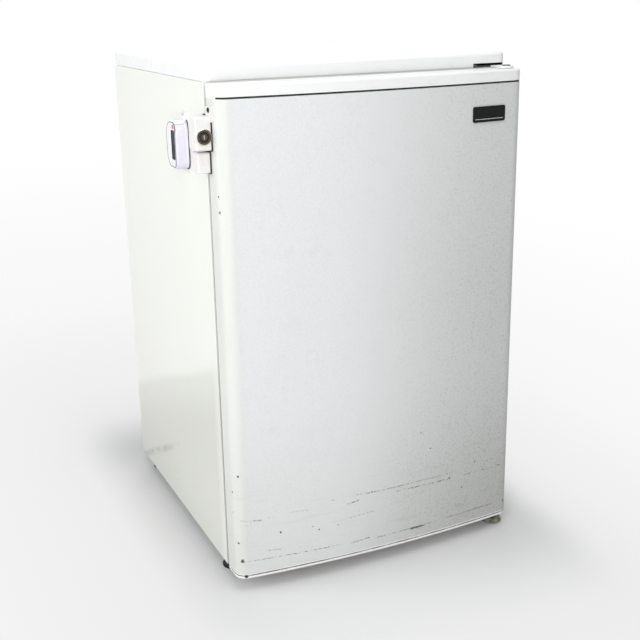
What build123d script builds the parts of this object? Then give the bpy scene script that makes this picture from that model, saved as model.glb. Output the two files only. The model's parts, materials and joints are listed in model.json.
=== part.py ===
from build123d import *

import os
from math import cos, radians, sin

os.makedirs("parts", exist_ok=True)

# Cabinet, in millimetres
HEIGHT = 850.0
CABINET_WIDTH = 530.0
CABINET_DEPTH = 520.0
FLOOR_CLEARANCE = 29.0
SHEET = 0.8
HEM = 12.0
LINER_WALL = 2.0
FOAM_GAP = 0.3
FOAM_JOINT = 0.05
SIDE_WALL = 38.0
TOP_WALL = 40.0
REAR_WALL = 42.0
FLOOR_WALL = 40.0
LINER_CORNER = 14.0
LINER_RIM_EASE = 1.0
MACHINE_HEIGHT = 190.0
MACHINE_DEPTH = 185.0

# Worktop
WORKTOP_THICKNESS = 24.0
WORKTOP_CORNER = 12.0
WORKTOP_ROUND = 5.0

# Door
DOOR_GAP = 7.5
DOOR_EDGE = 45.5
DOOR_BOW = 15.5
DOOR_CORNER = 20.0
DOOR_DROP = 5.0
DOOR_TOP_GAP = 0.7
DOOR_RETURN = 12.0
TOP_CAP = 17.5
CAP_JOINT = 3.0
CAP_JOINT_DEPTH = 3.5
BOTTOM_CAP = 9.0
BOTTOM_GROOVE = 1.6
CAP_ROUND = 3.0
GASKET_INSET = 14.0
GASKET_WIDTH = 17.0
GASKET_NECK = 3.0
GASKET_CLEARANCE = 0.3
GASKET_CORNER = 6.0
DYKE_CLEARANCE = 13.0
DYKE_WIDTH = 26.0
DYKE_REACH = 26.0
DYKE_CORNER = 16.0
DYKE_ROUND = 6.0

# Hinges
HINGE_INSET = 16.0
HINGE_SETBACK = 26.0
HINGE_LEAF = 3.0
HINGE_NOSE = 12.0
HINGE_PIN = 8.0
HINGE_PIN_LENGTH = 16.0
RIVET_HEAD = 13.0
RIVET_HEIGHT = 2.0
RUNNING_FIT = 0.05
BUSH_DIAMETER = 14.0
BUSH_LENGTH = 18.0
BUSH_FLANGE = 20.0
BUSH_FLANGE_HEIGHT = 2.6
LEAF_WIDTH = 56.0
LEAF_DEPTH = 44.0
LEAF_SETBACK = 4.0
LEAF_INSET = 1.0
NOSE_FLAT = 2.0
PIN_BEVEL = 1.0
BUSH_FLOOR = 0.5
POCKET_HEIGHT = 7.0
POCKET_MARGIN = 2.0
SCREW_SHANK = 4.5
SCREW_HEAD = 9.0
SCREW_HEAD_HEIGHT = 2.6
SCREW_LENGTH = 9.0
SCREW_EDGE = 8.0
FIT_CLEARANCE = 0.1

# Feet
FOOT_PAD = 34.0
FOOT_PAD_HEIGHT = 9.0
FOOT_STUD = 8.0
FOOT_TRAVEL_UP = 1.5
FOOT_BEVEL = 3.0
NUT_CLEARANCE = 0.5
NUT_ACROSS = 14.0
LEFT_FOOT_INSET = 24.0
LEFT_FOOT_SETBACK = 42.0
REAR_FOOT = 34.0
REAR_FOOT_INSET = 30.0
REAR_FOOT_TAPER = 4.0

# Machine compartment
RAIL_SHEET = 1.5
RAIL_MARGIN = 12.0
COMPRESSOR_LENGTH = 190.0
COMPRESSOR_WIDTH = 136.0
COMPRESSOR_LOWER = 68.0
COMPRESSOR_UPPER = 66.0
COMPRESSOR_SEAM = 3.0
COMPRESSOR_OFFSET = -55.0
COMPRESSOR_FOOT = 2.5
COMPRESSOR_FOOT_REACH = 18.0
COMPRESSOR_FOOT_INSET = 9.0
GROMMET = 24.0
GROMMET_HEIGHT = 12.0
GROMMET_NECK = 14.0
GROMMET_CROWN = 4.0
GROMMET_EDGE = 2.0
STUD = 6.0
NUT_HEIGHT = 5.0
NUT_DIAMETER = 13.0
RELAY_LENGTH = 70.0
RELAY_HEIGHT = 62.0
RELAY_DEPTH = 34.0
RELAY_ROUND = 6.0
TRAY_LENGTH = 170.0
TRAY_WIDTH = 120.0
TRAY_HEIGHT = 22.0
TRAY_WALL = 1.8

# Refrigerant circuit
CONDENSER_STANDOFF = 18.0
CONDENSER_TUBE = 5.0
CONDENSER_SIDE = 65.0
CONDENSER_PITCH = 46.0
CONDENSER_RUNS = 11
CONDENSER_TOP_MARGIN = 46.0
WIRE = 1.5
WIRE_PITCH = 24.0
WIRE_OVERHANG = 14.0
WELD_GAP = 0.05
CLIP_WIDTH = 11.0
CLIP_HEIGHT = 14.0
RISER_GAP = 12.0
DISCHARGE_RISE = 26.0
DISCHARGE_OFFSET = 24.0
LINE_TUBE = 6.4
LINE_BEND = 14.0
LINE_SLEEVE = 0.3
SUCTION_REACH = 55.0
SUCTION_RISE = 44.0
SUCTION_LEAN = 30.0
SUCTION_ENTRY_RISE = 40.0
CAPILLARY = 2.2
CAPILLARY_GAP = 0.1
CAPILLARY_BEND = 9.0
CAPILLARY_DROP = 22.0
DRIER_DIAMETER = 17.0
DRIER_LENGTH = 78.0
DRIER_OFFSET = 70.0
DRIER_RISE = 50.0
DRIER_NECK = 20.0
DRIER_INLET = 30.0
DRAIN_TUBE = 12.0
DRAIN_FLANGE = 26.0
DRAIN_WALL = 1.6
DRAIN_SETBACK = 34.0
GLAND_FLANGE = 20.0
GLAND_NECK = 14.0
GLAND_BORE = 8.0
GLAND_DEPTH = 14.0
GLAND_INSET = 60.0
GLAND_RISE = 40.0
EVAPORATOR_SIDE_GAP = 32.0
EVAPORATOR_HEIGHT = 360.0
EVAPORATOR_SHEET = 1.6
EVAPORATOR_GAP = 9.0
EVAPORATOR_CHANNEL = 7.0
EVAPORATOR_RUNS = 6
EVAPORATOR_DROP = 70.0
POST = 14.0

# Inside fittings
LEDGE_REACH = 9.0
LEDGE_HEIGHT = 8.0
SHELF_GLASS = 4.0
SHELF_SIDE_GAP = 3.0
SHELF_SETBACK = 108.0
SHELF_REAR_GAP = 28.0
TRIM_DEPTH = 16.0
TRIM_HEIGHT = 12.0
TRIM_GROOVE = 7.0
COVER_RISE = 14.0
SHELF_SPACING = 168.0
CRISPER_HEIGHT = 150.0
CRISPER_DEPTH = 168.0
CRISPER_WALL = 2.5
CRISPER_SIDE_GAP = 24.0
CRISPER_TAPER = 4.0
CRISPER_CORNER = 14.0
HOUSING_LENGTH = 150.0
HOUSING_HEIGHT = 62.0
HOUSING_REACH = 38.0
HOUSING_SETBACK = 120.0
HOUSING_DROP = 26.0
HOUSING_ROUND = 8.0
HOUSING_WALL = 3.0
KNOB_DIAMETER = 36.0
KNOB_HEIGHT = 13.0
KNOB_SHAFT = 6.0
KNOB_SHAFT_LENGTH = 12.0
KNOB_GAP = 0.5
KNOB_BEVEL = 1.5
KNOB_SKIRT = 2.5
FLUTES = 12
FLUTE_RADIUS = 3.0
LENS_LENGTH = 62.0
LENS_HEIGHT = 46.0
LENS_REACH = 10.0
LENS_WALL = 1.6
BULB_DIAMETER = 18.0
BULB_LENGTH = 40.0
BULB_NECK = 12.0
ROCKER_RADIUS = 9.0
ROCKER_LENGTH = 12.0
ROCKER_GAP = 0.4
ROCKER_PIN = 3.0
ROCKER_TILT = 8.0
ROCKER_SINK = 0.6
ROCKER_STAND = 1.0
BIN_DEPTH = 88.0
BIN_WALL = 2.2
BIN_SIDE_GAP = 1.0
BIN_CORNER = 8.0
BIN_HEIGHTS = (92.0, 62.0, 62.0)
BIN_LEVELS = (24.0, 262.0, 486.0)
LUG_WIDTH = 8.0
LUG_REACH = 5.0
LUG_HEIGHT = 12.0
LUG_SETBACK = 26.0
LUG_RISE = 18.0
SEAT_GAP = 0.3

# Lock on the door's left side, keeper on the cabinet
LOCK_REACH = 25.5
LOCK_HEIGHT = 49.5
LOCK_DROP = 46.0
LOCK_AHEAD = 29.0
LOCK_BEHIND = 5.0
LOCK_WALL = 4.0
LOCK_ROUND = 3.0
LOCK_SIDE_RELIEF = 0.8
LOCK_AXIS_DROP = 29.0
FLANGE_HEIGHT = 14.0
FLANGE_WIDTH = 28.0
FLANGE_SHEET = 2.2
FLANGE_AHEAD = 37.0
FLANGE_SCREW_RISE = 9.0
LOCK_SCREW_HEAD = 8.0
BARREL_DIAMETER = 21.0
BEZEL_RIM = 1.5
BEZEL_HEIGHT = 1.5
BARREL_LENGTH = 16.0
PLUG_FACE_RIM = 0.7
PLUG_FACE_DEPTH = 3.0
PLUG_FACE_GAP = 0.3
PLUG_SHANK = 12.0
KEY_SLOT_LENGTH = 8.0
KEY_SLOT_WIDTH = 1.8
CRANK_DISC_RIM = 2.0
CRANK_SHEET = 3.0
CRANK_RADIUS = 7.0
CRANK_PIN = 3.0
CRANK_ANGLE = 45.0
CRANK_SLOT_GAP = 0.4
BOLT_THICKNESS = 5.0
BOLT_GAP = 0.2
BOLT_YOKE_WALL = 3.0
BOLT_YOKE_END = 2.0
TONGUE_INNER = 6.0
TONGUE_OUTER = 3.0
KEEPER_GAP = 3.5
KEEPER_HEIGHT = 31.0
KEEPER_REACH = 21.0
KEEPER_AHEAD = 20.0
KEEPER_BEHIND = 13.0
KEEPER_SIDE_RELIEF = 1.4
KEEPER_SLOT_GAP = 0.5
KEEPER_SLOT_DEPTH = 12.0

# Temperature monitor on the cabinet's left side
MONITOR_REACH = 22.0
MONITOR_LENGTH = 50.0
MONITOR_HEIGHT = 76.0
MONITOR_SETBACK = 82.0
MONITOR_DROP = 62.0
MONITOR_FRONT_CORNER = 13.0
MONITOR_REAR_CORNER = 24.0
MONITOR_BACK = 5.0
MONITOR_ROUND = 4.0
TAB_WIDTH = 22.0
TAB_RISE = 15.0
TAB_SLOT = 10.0
TAB_SLOT_RISE = 9.0
TAB_SHEET = 3.0
WINDOW_WIDTH = 13.0
WINDOW_HEIGHT = 44.0
WINDOW_DEPTH = 1.2
WINDOW_INSET = 7.0
LAMP_WIDTH = 8.0
LAMP_HEIGHT = 6.0
LAMP_RISE = 28.0

# Blank badge plate on the door
BADGE_LENGTH = 64.0
BADGE_HEIGHT = 25.0
BADGE_THICKNESS = 1.6
BADGE_INSET = 70.5
BADGE_DROP = 67.5
BADGE_CORNER = 3.0

# How far cuts run past a face, and how near counts as the same place
OVERCUT = 1.0
NEAR = 0.01

# Planes and levels that the pieces share
FRONT_REACH = DOOR_GAP + DOOR_EDGE + DOOR_BOW
REAR_REACH = CONDENSER_STANDOFF + CONDENSER_TUBE / 2 + WELD_GAP + WIRE
X_MID = LOCK_REACH / 2
X_LEFT = X_MID - CABINET_WIDTH / 2
X_RIGHT = X_MID + CABINET_WIDTH / 2
Y_FACE = FRONT_REACH - (FRONT_REACH + CABINET_DEPTH + REAR_REACH) / 2
Y_REAR = Y_FACE + CABINET_DEPTH
CAB_BOTTOM = FLOOR_CLEARANCE
CAB_TOP = HEIGHT - WORKTOP_THICKNESS
SHELL_HEIGHT = CAB_TOP - CAB_BOTTOM
NICHE_TOP = CAB_BOTTOM + MACHINE_HEIGHT
Y_NICHE = Y_REAR - MACHINE_DEPTH

CAVITY_WIDTH = CABINET_WIDTH - 2 * SIDE_WALL
EVAPORATOR_WIDTH = CAVITY_WIDTH - 2 * EVAPORATOR_SIDE_GAP
CONDENSER_RUN = CABINET_WIDTH - 2 * CONDENSER_SIDE
WIRE_COUNT = int(CONDENSER_RUN // WIRE_PITCH)
FLOOR_Z = CAB_BOTTOM + FLOOR_WALL
CEILING_Z = CAB_TOP - TOP_WALL
HUMP_Z = NICHE_TOP + FLOOR_WALL
Y_BACK = Y_REAR - REAR_WALL
Y_HUMP = Y_NICHE - REAR_WALL
WALL_LEFT = X_MID - CAVITY_WIDTH / 2
WALL_RIGHT = X_MID + CAVITY_WIDTH / 2

Y_DOOR_REAR = Y_FACE - DOOR_GAP
Y_DOOR_EDGE = Y_DOOR_REAR - DOOR_EDGE
Y_DOOR_APEX = Y_DOOR_EDGE - DOOR_BOW
DOOR_TOP = CAB_TOP - DOOR_TOP_GAP
DOOR_BOTTOM = CAB_BOTTOM - DOOR_DROP
PANEL_TOP = DOOR_TOP - TOP_CAP - CAP_JOINT
PANEL_BOTTOM = DOOR_BOTTOM + BOTTOM_CAP

HINGE_X = X_RIGHT - HINGE_INSET
HINGE_Y = Y_FACE - HINGE_SETBACK
HINGE_AXIS = (HINGE_X, HINGE_Y)
BRACKET_TOP = DOOR_BOTTOM - BUSH_FLANGE_HEIGHT - SEAT_GAP
BUSH_BORE = HINGE_PIN / 2 + RUNNING_FIT


def level(z):
    """Horizontal plane at height z."""
    return Plane.XY.offset(z)


def upright(y):
    """Vertical plane across the cabinet at depth y, drawn in X and Z, extruding to the front."""
    return Plane.XZ.offset(-y)


def side(x):
    """Vertical plane along the cabinet at x, drawn in Y and Z, extruding to the right."""
    return Plane.YZ.offset(x)


def slab(x, y, z, mode=Mode.ADD):
    """Rectangular block between pairs of limits."""
    with Locations(((x[0] + x[1]) / 2, (y[0] + y[1]) / 2, (z[0] + z[1]) / 2)):
        Box(x[1] - x[0], y[1] - y[0], z[1] - z[0], mode=mode)


def post(centre, diameter, z, mode=Mode.ADD):
    """Upright cylinder on a plan centre between two heights."""
    with Locations((centre[0], centre[1], (z[0] + z[1]) / 2)):
        Cylinder(diameter / 2, z[1] - z[0], mode=mode)


def spindle(x, z, diameter, y, mode=Mode.ADD):
    """Cylinder lying front to back between two depths."""
    with Locations((x, (y[0] + y[1]) / 2, z)):
        Cylinder(diameter / 2, y[1] - y[0], rotation=(90, 0, 0), mode=mode)


def crosswise(y, z, diameter, x, mode=Mode.ADD):
    """Cylinder lying left to right between two x limits."""
    with Locations(((x[0] + x[1]) / 2, y, z)):
        Cylinder(diameter / 2, x[1] - x[0], rotation=(0, 90, 0), mode=mode)


def tube(points, bend, diameter, mode=Mode.ADD):
    """Round bar along straight runs joined by equal bends."""
    with BuildLine() as route:
        FilletPolyline(*points, radius=bend)
    with BuildSketch(Plane(origin=route.line @ 0, z_dir=route.line % 0)) as section:
        Circle(diameter / 2)
    sweep(section.sketch, path=route.line, mode=mode)


def save(piece, name):
    """Label one finished piece and write it."""
    piece.part.label = name
    export_step(piece.part, f"parts/{name}.step")


def cavity_block(grow=0.0):
    """Inside of the cabinet with its step over the compressor, grown on every wall."""
    with BuildPart() as block:
        with BuildSketch(side(WALL_LEFT - grow)) as profile:
            with BuildLine():
                Polyline(
                    (Y_FACE, FLOOR_Z - grow),
                    (Y_HUMP + grow, FLOOR_Z - grow),
                    (Y_HUMP + grow, HUMP_Z - grow),
                    (Y_BACK + grow, HUMP_Z - grow),
                    (Y_BACK + grow, CEILING_Z + grow),
                    (Y_FACE, CEILING_Z + grow),
                    close=True,
                )
            make_face()
            inner = profile.vertices().filter_by_position(Axis.X, Y_FACE + OVERCUT, Y_REAR)
            step = inner.filter_by_position(Axis.X, Y_FACE, Y_HUMP + grow + OVERCUT).sort_by(Axis.Y)[-1]
            fillet(step, LINER_CORNER)
            round_ones = profile.vertices().filter_by_position(Axis.X, Y_FACE + OVERCUT, Y_REAR)
            corners = [
                (Y_HUMP + grow, FLOOR_Z - grow),
                (Y_BACK + grow, HUMP_Z - grow),
                (Y_BACK + grow, CEILING_Z + grow),
            ]
            sharp = [v for v in round_ones if any(abs(v.X - c[0]) + abs(v.Y - c[1]) < NEAR for c in corners)]
            fillet(sharp, LINER_CORNER + grow)
        extrude(amount=CAVITY_WIDTH + 2 * grow)
        walls = block.faces().filter_by(Axis.X)
        rims = [e for e in walls.edges() if e.center().Y > Y_FACE + NEAR]
        fillet(rims, LINER_CORNER + grow - LINER_RIM_EASE)
    return block.part


def door_plan(z, inset=0.0):
    """Outline of the door seen from above at height z, drawn in at its front and sides."""
    left = X_LEFT + inset
    right = X_RIGHT - inset
    edge = Y_DOOR_EDGE + inset
    with BuildSketch(level(z)) as plan:
        with BuildLine():
            Polyline((left, edge), (left, Y_DOOR_REAR), (right, Y_DOOR_REAR), (right, edge))
            ThreePointArc((right, edge), (X_MID, Y_DOOR_APEX + inset), (left, edge))
        make_face()
        fillet(plan.vertices().group_by(Axis.Y)[0], DOOR_CORNER - inset)
    return plan.sketch


def door_band(z, height, depth, y_limit):
    """Strip round the front and sides of the door, as deep as a groove there, up to y_limit."""
    with BuildPart() as band:
        extrude(door_plan(z), amount=height)
        extrude(door_plan(z, depth), amount=height, mode=Mode.SUBTRACT)
        slab((X_LEFT, X_RIGHT), (y_limit, Y_DOOR_REAR + OVERCUT), (z, z + height), Mode.SUBTRACT)
    return band.part


# Places where pieces pass through or fasten to others
LEAF_X = HINGE_X + HINGE_NOSE - LEAF_INSET - LEAF_WIDTH / 2
LEAF_Y = Y_FACE + LEAF_SETBACK + LEAF_DEPTH / 2
TOP_HINGE_SCREWS = [
    (LEAF_X - LEAF_WIDTH / 2 + SCREW_EDGE, LEAF_Y - LEAF_DEPTH / 2 + SCREW_EDGE),
    (LEAF_X - LEAF_WIDTH / 2 + SCREW_EDGE, LEAF_Y + LEAF_DEPTH / 2 - SCREW_EDGE),
    (LEAF_X + LEAF_WIDTH / 2 - SCREW_EDGE, LEAF_Y + LEAF_DEPTH / 2 - SCREW_EDGE),
]
LEFT_FOOT = (X_LEFT + LEFT_FOOT_INSET, Y_FACE + LEFT_FOOT_SETBACK)
BRACKET_LOW = BRACKET_TOP - HINGE_LEAF
NUT_BOTTOM = FOOT_PAD_HEIGHT + FOOT_TRAVEL_UP + NUT_CLEARANCE
COMPRESSOR_X = X_MID + COMPRESSOR_OFFSET
COMPRESSOR_FOOT_LENGTH = COMPRESSOR_LENGTH + 2 * COMPRESSOR_FOOT_REACH
COMPRESSOR_FOOT_WIDTH = COMPRESSOR_WIDTH - 2 * COMPRESSOR_FOOT_INSET
COMPRESSOR_Y = (Y_NICHE + Y_REAR) / 2
RAIL_TOP = CAB_BOTTOM + RAIL_SHEET
SHELL_BOTTOM = RAIL_TOP + GROMMET_HEIGHT + COMPRESSOR_FOOT
SHELL_SEAM = SHELL_BOTTOM + COMPRESSOR_LOWER
SHELL_CROWN = SHELL_SEAM + COMPRESSOR_UPPER
Y_CONDENSER = Y_REAR + CONDENSER_STANDOFF
CONDENSER_TOP = CAB_TOP - CONDENSER_TOP_MARGIN
CONDENSER_BOTTOM = CONDENSER_TOP - (CONDENSER_RUNS - 1) * CONDENSER_PITCH
Y_EVAPORATOR = Y_BACK - EVAPORATOR_GAP
EVAPORATOR_TOP = CEILING_Z - EVAPORATOR_DROP
EVAPORATOR_LOW = EVAPORATOR_TOP - EVAPORATOR_HEIGHT
COVER_Z = HUMP_Z + COVER_RISE
SHELF_LEVELS = [COVER_Z + i * SHELF_SPACING for i in range(3)]
Y_SHELF = Y_FACE + SHELF_SETBACK
Y_SHELF_REAR = Y_BACK - SHELF_REAR_GAP

# Suction line and capillary, from the compressor up inside the rear wall to the evaporator
Y_WALL_MID = (Y_BACK + LINER_WALL + Y_REAR - SHEET) / 2
SUCTION_X = COMPRESSOR_X + COMPRESSOR_LENGTH / 2 + SUCTION_REACH
SUCTION_START = (COMPRESSOR_X + COMPRESSOR_LENGTH / 2, COMPRESSOR_Y, SHELL_BOTTOM + SUCTION_RISE)
SUCTION_ENTRY_Z = EVAPORATOR_LOW + SUCTION_ENTRY_RISE
SUCTION_ROUTE = [
    SUCTION_START,
    (SUCTION_X, COMPRESSOR_Y, SUCTION_START[2]),
    (SUCTION_X, Y_WALL_MID, SUCTION_START[2] + SUCTION_LEAN),
    (SUCTION_X, Y_WALL_MID, SUCTION_ENTRY_Z),
    (SUCTION_X, Y_EVAPORATOR, SUCTION_ENTRY_Z),
]
CAPILLARY_X = SUCTION_X + LINE_TUBE / 2 + CAPILLARY_GAP + CAPILLARY / 2
DRIER_X = SUCTION_X + DRIER_OFFSET
DRIER_Y = Y_WALL_MID
DRIER_LOW = CAB_BOTTOM + DRIER_RISE
CAPILLARY_ROUTE = [
    (DRIER_X, DRIER_Y, DRIER_LOW),
    (DRIER_X, DRIER_Y, DRIER_LOW - CAPILLARY_DROP),
    (CAPILLARY_X, Y_WALL_MID, DRIER_LOW - CAPILLARY_DROP),
    (CAPILLARY_X, Y_WALL_MID, SUCTION_ENTRY_Z + 2 * LINE_TUBE),
    (CAPILLARY_X, Y_EVAPORATOR, SUCTION_ENTRY_Z + 2 * LINE_TUBE),
]
DRAIN_CENTRE = (COMPRESSOR_X, Y_BACK - DRAIN_SETBACK)
GLAND_X = X_LEFT + GLAND_INSET
GLAND_Z = NICHE_TOP + GLAND_RISE
MONITOR_TOP = DOOR_TOP - MONITOR_DROP
MONITOR_Z = MONITOR_TOP - MONITOR_HEIGHT / 2
MONITOR_Y = Y_FACE + MONITOR_SETBACK + MONITOR_LENGTH / 2


# Steel wrapper: both sides and the top in one bent sheet, hemmed round the opening
with BuildPart() as cabinet_wrapper:
    with BuildSketch(upright(Y_REAR)):
        with Locations((X_MID, CAB_BOTTOM)):
            Rectangle(CABINET_WIDTH, SHELL_HEIGHT, align=(Align.CENTER, Align.MIN))
            Rectangle(
                CABINET_WIDTH - 2 * SHEET,
                SHELL_HEIGHT - SHEET,
                align=(Align.CENTER, Align.MIN),
                mode=Mode.SUBTRACT,
            )
    extrude(amount=CABINET_DEPTH)
    with BuildSketch(upright(Y_FACE + SHEET)):
        with Locations((X_MID, CAB_BOTTOM)):
            Rectangle(CABINET_WIDTH, SHELL_HEIGHT, align=(Align.CENTER, Align.MIN))
            Rectangle(
                CABINET_WIDTH - 2 * HEM,
                SHELL_HEIGHT - HEM,
                align=(Align.CENTER, Align.MIN),
                mode=Mode.SUBTRACT,
            )
    extrude(amount=SHEET)
    for spot in TOP_HINGE_SCREWS:
        post(spot, SCREW_SHANK + 2 * FIT_CLEARANCE, (CAB_TOP - 2 * SHEET, CAB_TOP + SHEET), Mode.SUBTRACT)
save(cabinet_wrapper, "cabinet_wrapper")

# Rear panel, pierced for the cord gland
with BuildPart() as rear_panel:
    with BuildSketch(upright(Y_REAR)):
        with Locations((X_MID, NICHE_TOP + SHEET)):
            Rectangle(
                CABINET_WIDTH - 2 * SHEET,
                CAB_TOP - NICHE_TOP - 2 * SHEET,
                align=(Align.CENTER, Align.MIN),
            )
        with Locations((GLAND_X, GLAND_Z)):
            Circle(GLAND_NECK / 2, mode=Mode.SUBTRACT)
    extrude(amount=SHEET)
save(rear_panel, "rear_panel")

# Base pan: floor sheet, riser and roof of the machine compartment, with the weld nut of the left foot
with BuildPart() as base_pan:
    with BuildSketch(side(X_LEFT + SHEET)):
        with BuildLine():
            Polyline(
                (Y_FACE + SHEET, CAB_BOTTOM),
                (Y_NICHE, CAB_BOTTOM),
                (Y_NICHE, NICHE_TOP),
                (Y_REAR, NICHE_TOP),
                (Y_REAR, NICHE_TOP + SHEET),
                (Y_NICHE - SHEET, NICHE_TOP + SHEET),
                (Y_NICHE - SHEET, CAB_BOTTOM + SHEET),
                (Y_FACE + SHEET, CAB_BOTTOM + SHEET),
                close=True,
            )
        make_face()
    extrude(amount=CABINET_WIDTH - 2 * SHEET)
    slab(
        (X_LEFT + HEM, X_RIGHT - HEM),
        (Y_FACE, Y_FACE + SHEET),
        (CAB_BOTTOM, CAB_BOTTOM + HEM),
    )
    with BuildSketch(level(NUT_BOTTOM)):
        with Locations(LEFT_FOOT):
            RegularPolygon(NUT_ACROSS / 2, 6, major_radius=False)
            Circle(FOOT_STUD / 2 + RUNNING_FIT, mode=Mode.SUBTRACT)
    extrude(amount=CAB_BOTTOM - NUT_BOTTOM)
    post(DRAIN_CENTRE, DRAIN_TUBE, (NICHE_TOP - OVERCUT, NICHE_TOP + 2 * SHEET), Mode.SUBTRACT)
    tube(SUCTION_ROUTE, LINE_BEND, LINE_TUBE + 2 * LINE_SLEEVE, Mode.SUBTRACT)
    tube(CAPILLARY_ROUTE, CAPILLARY_BEND, CAPILLARY + 2 * LINE_SLEEVE, Mode.SUBTRACT)
save(base_pan, "base_pan")

# Rigid foam panels between wrapper and liner, parted by hairline joints
FOAM_SKIN = LINER_WALL + FOAM_GAP
FOAM_FRONT = Y_FACE + LINER_WALL
FOAM_BACK = Y_REAR - SHEET
FOAM_LOW = CAB_BOTTOM + SHEET
FOAM_TOP = CAB_TOP - SHEET
FOAM_STEP = NICHE_TOP + SHEET
FOAM_ACROSS = (WALL_LEFT - FOAM_SKIN + FOAM_JOINT, WALL_RIGHT + FOAM_SKIN - FOAM_JOINT)
with BuildPart() as cabinet_insulation:
    slab(FOAM_ACROSS, (Y_HUMP + FOAM_SKIN, FOAM_BACK), (FOAM_STEP, HUMP_Z - FOAM_SKIN))
    nose = cabinet_insulation.edges().filter_by(Axis.X).group_by(Axis.Z)[-1].sort_by(Axis.Y)[0]
    fillet(nose, LINER_CORNER)
    slab(FOAM_ACROSS, (Y_HUMP + FOAM_SKIN, Y_NICHE - SHEET), (FOAM_LOW, FOAM_STEP - FOAM_JOINT))
    slab(FOAM_ACROSS, (FOAM_FRONT, Y_HUMP + FOAM_SKIN - FOAM_JOINT), (FOAM_LOW, FLOOR_Z - FOAM_SKIN))
    slab(FOAM_ACROSS, (FOAM_FRONT, FOAM_BACK), (CEILING_Z + FOAM_SKIN, FOAM_TOP))
    slab(
        FOAM_ACROSS,
        (Y_BACK + FOAM_SKIN, FOAM_BACK),
        (HUMP_Z - FOAM_SKIN + FOAM_JOINT, CEILING_Z + FOAM_SKIN - FOAM_JOINT),
    )
    for wall_x in ((X_LEFT + SHEET, WALL_LEFT - FOAM_SKIN), (WALL_RIGHT + FOAM_SKIN, X_RIGHT - SHEET)):
        slab(wall_x, (FOAM_FRONT, FOAM_BACK), (FOAM_STEP, FOAM_TOP))
        slab(wall_x, (FOAM_FRONT, Y_NICHE - SHEET), (FOAM_LOW, FOAM_STEP - FOAM_JOINT))
    for spot in TOP_HINGE_SCREWS:
        post(spot, SCREW_SHANK + 2 * FIT_CLEARANCE, (CAB_TOP - SCREW_LENGTH, CAB_TOP), Mode.SUBTRACT)
    post(DRAIN_CENTRE, DRAIN_TUBE, (NICHE_TOP, HUMP_Z), Mode.SUBTRACT)
    spindle(GLAND_X, GLAND_Z, GLAND_NECK, (Y_REAR - GLAND_DEPTH, Y_REAR), Mode.SUBTRACT)
    tube(SUCTION_ROUTE, LINE_BEND, LINE_TUBE + 2 * LINE_SLEEVE, Mode.SUBTRACT)
    tube(CAPILLARY_ROUTE, CAPILLARY_BEND, CAPILLARY + 2 * LINE_SLEEVE, Mode.SUBTRACT)
save(cabinet_insulation, "cabinet_insulation")

# Moulded inner liner with its front flange and the shelf ledges
with BuildPart() as inner_liner:
    add(cavity_block(LINER_WALL))
    slab(
        (X_LEFT + HEM, X_RIGHT - HEM),
        (Y_FACE, Y_FACE + LINER_WALL),
        (CAB_BOTTOM + HEM, CAB_TOP - HEM),
    )
    add(cavity_block(), mode=Mode.SUBTRACT)
    for shelf_z in SHELF_LEVELS:
        with BuildSketch(upright(Y_SHELF_REAR)):
            with Locations((WALL_LEFT, shelf_z), (WALL_RIGHT, shelf_z)):
                Rectangle(2 * LEDGE_REACH, LEDGE_HEIGHT, align=(Align.CENTER, Align.MAX))
            with Locations((X_MID, shelf_z)):
                Rectangle(
                    CAVITY_WIDTH + LINER_WALL,
                    2 * LEDGE_HEIGHT,
                    mode=Mode.INTERSECT,
                )
        extrude(amount=Y_SHELF_REAR - Y_SHELF)
    post(DRAIN_CENTRE, DRAIN_TUBE, (HUMP_Z - 2 * LINER_WALL, HUMP_Z + OVERCUT), Mode.SUBTRACT)
    tube(SUCTION_ROUTE, LINE_BEND, LINE_TUBE + 2 * LINE_SLEEVE, Mode.SUBTRACT)
    tube(CAPILLARY_ROUTE, CAPILLARY_BEND, CAPILLARY + 2 * LINE_SLEEVE, Mode.SUBTRACT)
save(inner_liner, "inner_liner")

# Worktop with rounded edges, pocketed underneath for the top hinge
with BuildPart() as worktop:
    with BuildSketch(level(CAB_TOP)):
        with Locations((X_MID, (Y_FACE + Y_REAR) / 2)):
            RectangleRounded(CABINET_WIDTH, CABINET_DEPTH, WORKTOP_CORNER)
    extrude(amount=WORKTOP_THICKNESS)
    fillet(worktop.faces().sort_by(Axis.Z)[-1].edges(), WORKTOP_ROUND)
    fillet(worktop.faces().sort_by(Axis.Z)[0].edges(), WORKTOP_ROUND / 2)
    slab(
        (LEAF_X - LEAF_WIDTH / 2 - POCKET_MARGIN, LEAF_X + LEAF_WIDTH / 2 + FIT_CLEARANCE),
        (Y_FACE - OVERCUT, LEAF_Y + LEAF_DEPTH / 2 + POCKET_MARGIN),
        (CAB_TOP - OVERCUT, CAB_TOP + POCKET_HEIGHT),
        Mode.SUBTRACT,
    )
save(worktop, "worktop")

# Top hinge: leaf screwed to the cabinet under the worktop, with a riveted pin
with BuildPart() as top_hinge_leaf:
    with BuildSketch(level(CAB_TOP)):
        with Locations((LEAF_X, LEAF_Y)):
            RectangleRounded(LEAF_WIDTH, LEAF_DEPTH, SCREW_EDGE / 2)
        with Locations((HINGE_X - LEAF_INSET, (HINGE_Y + LEAF_Y) / 2)):
            Rectangle(2 * (HINGE_NOSE - LEAF_INSET), LEAF_Y - HINGE_Y)
        with Locations(HINGE_AXIS):
            Circle(HINGE_NOSE)
            Circle(HINGE_PIN / 2, mode=Mode.SUBTRACT)
        with Locations(*TOP_HINGE_SCREWS):
            Circle(SCREW_SHANK / 2 + FIT_CLEARANCE, mode=Mode.SUBTRACT)
    extrude(amount=HINGE_LEAF)
save(top_hinge_leaf, "top_hinge_leaf")

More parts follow.
